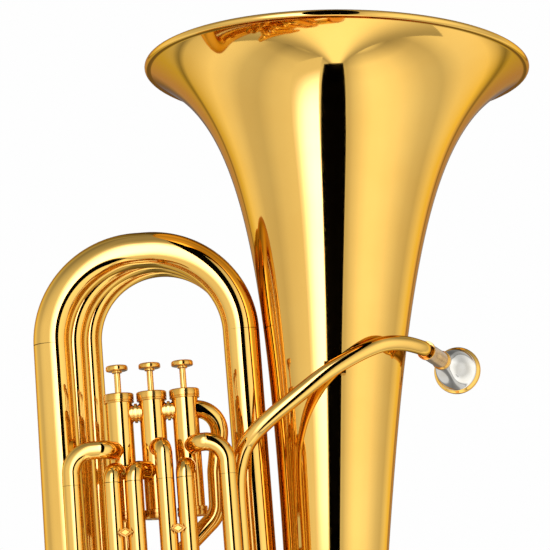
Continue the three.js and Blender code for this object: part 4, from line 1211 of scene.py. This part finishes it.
@dataclass
class Studio:
    """A pale floor, a soft surround, one narrow dark card in front, and the camera."""

    position: Vector = field(default_factory=lambda: Vector((-0.008191, -1.900, 0.385915)))
    pitch: float = 10.634
    roll: float = 0.343
    lens: float = 132.11
    peak: float = 6.0
    card: tuple[float, float, float] = (-0.078, 0.112, -0.42)
    panel: float = 0.28
    level: float = 1.0  # brightness of the surround behind the panels
    cool: float = 1.8  # how much bluer than the surround the lamps are
    glow: tuple[float, ...] = (0.0, 0.5, 1.5, 2.6, 3.1, 3.1)  # from the panel's left to its right
    fade: tuple[float, float, float, float] = (0.28, 0.68, 0.86, 1.14)  # heights: up, and out
    # The paper wedge: its middle, its front and back, how fast it widens, half its front's width.
    wedge: tuple[float, float, float, float, float] = (0.035, -0.56, 0.25, 0.75, 0.04)
    # Brightness of the surround by direction, in degrees: 0 is in front, plus is to the right.
    surround: tuple[tuple[float, float], ...] = (
        (-180, 0.20), (-168, 0.28), (-163, 0.70), (-148, 0.75), (-145, 0.30), (-142, 0.85),
        (-125, 1.20), (-112, 1.05), (-100, 0.80), (-83, 0.74), (-68, 0.95), (-50, 1.05),
        (-22, 1.05), (8, 0.8), (11, 0.74), (17, 0.98), (29, 1.32), (36, 1.45), (47, 1.45),
        (63, 1.32), (76, 1.10), (90, 0.88), (105, 0.76), (122, 1.15), (138, 1.25), (143, 0.85),
        (146, 0.30), (149, 0.72), (163, 0.65), (168, 0.28), (180, 0.20))
    # The same by height, from straight down at -1 to straight up at 1.
    heights: tuple[tuple[float, float], ...] = (
        (-1.0, 0.80), (-0.965, 0.80), (-0.955, 0.48), (-0.94, 0.62), (-0.90, 0.92), (-0.80, 1.0),
        (0.25, 1.0), (0.45, 0.80), (0.70, 0.52), (0.90, 0.38))

    def build(self) -> None:
        """Sets up the studio."""
        self.floor()
        self.dark_card()
        self.soft_panel()
        self.paper()
        self.world()
        self.camera()
        bpy.context.scene.view_settings.view_transform = "Standard"

    def floor(self) -> None:
        """A plain pale floor."""
        obj = self.board("floor", Matrix.Diagonal((12, 12, 1, 1)))
        material, tree, coords = fresh("matt pale floor paint")
        grain = add_node(tree, "TexNoise", {"Scale": 1 / (30 * MM), "Detail": 4.0},
                         {"Vector": coords.outputs["Object"]})
        tone = add_node(tree, "ValToRGB", {}, {"Fac": grain})
        colour_stops(tone, [(0.0, linear("#E9E8E5")), (1.0, linear("#EEEDEA"))])
        shader = add_node(tree, "BsdfPrincipled", {"Roughness": 0.9, "Specular IOR Level": 0.0},
                          {"Base Color": tone})
        add_node(tree, "OutputMaterial", {}, {"Surface": shader})
        obj.data.materials.append(material)
        obj.visible_glossy = False

    def board(self, name: str, place: Matrix) -> Piece:
        """A square metre, stretched and moved to its place."""
        deselect()
        bpy.ops.mesh.primitive_plane_add(size=1, location=(0, 0, 0))
        obj = bpy.context.object
        obj.name = name
        obj.data.transform(place)
        return obj

    def soft_panel(self) -> None:
        """A tall lamp beside the dark card, brightest next to it, that only reflections see."""
        right, _, depth = self.card
        left = right - self.panel
        turn = Matrix.Rotation(math.pi / 2, 4, "X")
        middle = Matrix.Translation(((left + right) / 2, depth, 1.31))
        obj = self.board("soft_panel", middle @ turn @ Matrix.Diagonal((self.panel, 2.6, 1, 1)))
        material, tree, coords = fresh("soft_panel cloth")
        parts = add_node(tree, "SeparateXYZ", {}, {0: coords.outputs["Object"]})
        share = add_node(tree, "MapRange", {"From Min": left, "From Max": right},
                         {"Value": parts.outputs["X"]})
        ramp = add_node(tree, "ValToRGB", {}, {"Fac": share})
        last = len(self.glow) - 1
        colour_stops(ramp, [
            (i / last, (*[bright / self.peak] * 2, bright * self.cool / self.peak, 1.0))
            for i, bright in enumerate(self.glow)])
        foot, full, start, end = self.fade
        low = add_node(tree, "MapRange",
                       {"From Min": foot, "From Max": full, "To Max": self.peak,
                        "interpolation_type": "SMOOTHSTEP"}, {"Value": parts.outputs["Z"]})
        high = add_node(tree, "MapRange",
                        {"From Min": start, "From Max": end, "To Min": 1.0, "To Max": 0.0,
                         "interpolation_type": "SMOOTHSTEP"}, {"Value": parts.outputs["Z"]})
        behind = add_node(tree, "MapRange",
                          {"From Min": start, "From Max": end + 0.2, "To Min": self.level,
                           "To Max": self.level * 0.4}, {"Value": parts.outputs["Z"]})
        dim = add_node(tree, "Math", {"operation": "MULTIPLY"}, {0: low, 1: high})
        bright = add_node(tree, "VectorMath", {"operation": "MULTIPLY_ADD"},
                          {0: ramp, 1: dim, 2: behind})
        self.shine(obj, material, tree, bright)

    def shine(self, obj: Piece, material: bpy.types.Material,
              tree: bpy.types.NodeTree, bright: bpy.types.Node) -> None:
        """Makes a board glow, for reflections only."""
        glow = add_node(tree, "Emission", {"Strength": 1.0}, {"Color": bright})
        add_node(tree, "OutputMaterial", {}, {"Surface": glow})
        obj.data.materials.append(material)
        obj.visible_camera = False
        obj.visible_diffuse = False
        obj.visible_shadow = False

    def paper(self) -> None:
        """The paper on the floor: a wedge that widens inwards and glows for reflections only, a
        painted pool of light brightest along its middle.
        """
        x, front, back, slope, narrow = self.wedge
        middle = Matrix.Translation((x, (front + back) / 2, 0.001))
        obj = self.board("floor_paper", middle @ Matrix.Diagonal((1.0, back - front, 1, 1)))
        for vertex in obj.data.vertices:
            reach = narrow + slope * (vertex.co.y - front)
            vertex.co.x = x + math.copysign(reach, vertex.co.x - x)
        material, tree, coords = fresh("bright floor paper")
        parts = add_node(tree, "SeparateXYZ", {}, {0: coords.outputs["Object"]})
        aside = add_node(tree, "Math", {"operation": "SUBTRACT", 1: x}, {0: parts.outputs["X"]})
        off = add_node(tree, "Math", {"operation": "ABSOLUTE"}, {0: aside})
        deep = add_node(tree, "Math", {"operation": "SUBTRACT", 1: front}, {0: parts.outputs["Y"]})
        half = add_node(tree, "Math", {"operation": "MULTIPLY_ADD", 1: slope, 2: narrow}, {0: deep})
        share = add_node(tree, "Math", {"operation": "DIVIDE"}, {0: off, 1: half})
        # painted light: the glow falls from 1.6 along the middle to 0.5 at the edges, a painted
        # pool of light that only reflections see
        bright = add_node(tree, "MapRange",
                          {"From Min": 0.25, "From Max": 1.0, "To Min": 1.6, "To Max": 0.5,
                           "interpolation_type": "SMOOTHSTEP"}, {"Value": share})
        self.shine(obj, material, tree, bright)

    def dark_card(self) -> None:
        """A tall narrow black card in front, which the polished tubes mirror as a crisp stripe."""
        left, right, depth = self.card
        low, bend, shoulder, top = 0.24, 0.62, 0.76, 2.6
        turn = Matrix.Rotation(math.pi / 2, 4, "X")
        size = Matrix.Diagonal((right - left, top - shoulder, 1, 1))
        middle = Vector(((left + right) / 2, depth, (shoulder + top) / 2))
        obj = self.board("dark_card", Matrix.Translation(middle) @ turn @ size)
        for vertex in obj.data.vertices:
            vertex.select = vertex.co.z < shoulder + 0.01
        bpy.ops.object.mode_set(mode="EDIT")
        for drop, narrower in ((bend - shoulder, 0.86), (low - bend, 0.87)):
            bpy.ops.mesh.extrude_region_move(TRANSFORM_OT_translate={"value": (0, 0, drop)})
            bpy.ops.transform.resize(value=(narrower, 1, 1), center_override=(middle.x, depth, low))
        bpy.ops.object.mode_set(mode="OBJECT")
        material, tree, _ = fresh("black card")
        shader = add_node(tree, "BsdfPrincipled",
                          {"Base Color": linear("#060504"), "Roughness": 1.0,
                           "Specular IOR Level": 0.0}, {})
        add_node(tree, "OutputMaterial", {}, {"Surface": shader})
        obj.data.materials.append(material)
        obj.visible_camera = False
        obj.visible_shadow = False

    def world(self) -> None:
        """The surround: soft light by direction, and plain white where the camera looks."""
        world = bpy.data.worlds.new("studio")
        bpy.context.scene.world = world
        world.use_nodes = True
        tree = world.node_tree
        tree.nodes.clear()
        coords = add_node(tree, "TexCoord", {}, {})
        parts = add_node(tree, "SeparateXYZ", {}, {0: coords.outputs["Generated"]})
        ahead = add_node(tree, "Math", {"operation": "MULTIPLY", 1: -1.0}, {0: parts.outputs["Y"]})
        angle = add_node(tree, "Math", {"operation": "ARCTAN2"}, {0: parts.outputs["X"], 1: ahead})
        share = add_node(tree, "MapRange",
                         {"From Min": -math.pi, "From Max": math.pi, "To Min": 0.0, "To Max": 1.0},
                         {"Value": angle})
        height = add_node(tree, "MapRange", {"From Min": -1.0, "From Max": 1.0},
                          {"Value": parts.outputs["Z"]})
        tall = add_node(tree, "ValToRGB", {}, {"Fac": height})
        colour_stops(tall, [((level + 1) / 2, (bright, bright, bright, 1.0))
                            for level, bright in self.heights])
        rise = add_node(tree, "Math", {"operation": "MULTIPLY", 1: self.peak}, {0: tall})
        ramp = add_node(tree, "ValToRGB", {}, {"Fac": share})
        colour_stops(ramp, [((degrees + 180) / 360, (*[bright / self.peak] * 3, 1.0))
                            for degrees, bright in self.surround])
        glow = add_node(tree, "Background", {}, {"Color": ramp, "Strength": rise})
        plain = add_node(tree, "Background", {"Color": linear("#FEFEFE"), "Strength": 1.0}, {})
        ray = add_node(tree, "LightPath", {}, {})
        seen = add_node(tree, "Math", {"operation": "MAXIMUM"},
                        {0: ray.outputs["Is Camera Ray"], 1: ray.outputs["Is Diffuse Ray"]})
        mix = add_node(tree, "MixShader", {}, {0: seen, 1: glow, 2: plain})
        add_node(tree, "OutputWorld", {}, {"Surface": mix})

    def camera(self) -> None:
        """A long lens, a little below the middle of the bell, looking slightly up."""
        data = bpy.data.cameras.new("camera")
        data.lens = self.lens
        data.sensor_width = 36
        data.clip_start = 0.01
        obj = bpy.data.objects.new("camera", data)
        bpy.context.scene.collection.objects.link(obj)
        pitch, roll = math.radians(self.pitch), math.radians(self.roll)
        forward = Vector((0, math.cos(pitch), math.sin(pitch)))
        right, up = Vector((1, 0, 0)), Vector((0, -math.sin(pitch), math.cos(pitch)))
        turned_right = right * math.cos(roll) + up * math.sin(roll)
        turned_up = up * math.cos(roll) - right * math.sin(roll)
        place = Matrix((turned_right, turned_up, -forward)).transposed().to_4x4()
        place.translation = self.position
        obj.matrix_world = place
        bpy.context.scene.camera = obj


def main() -> None:
    """Builds the instrument and the studio."""
    logging.basicConfig(level=logging.INFO, format="%(name)s: %(message)s")
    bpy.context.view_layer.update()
    bell = Bell()
    valves = ValveBlock()
    bow, slides = BottomBow(), ValveSlides(valves)
    for part in (bell, bow, Branches(), valves, slides, TuningSlide(valves),
                 Mouthpipe(bell, valves), Braces(slides, bow)):
        part.build()
    water_key()
    Studio().build()


if __name__ == "__main__":
    main()
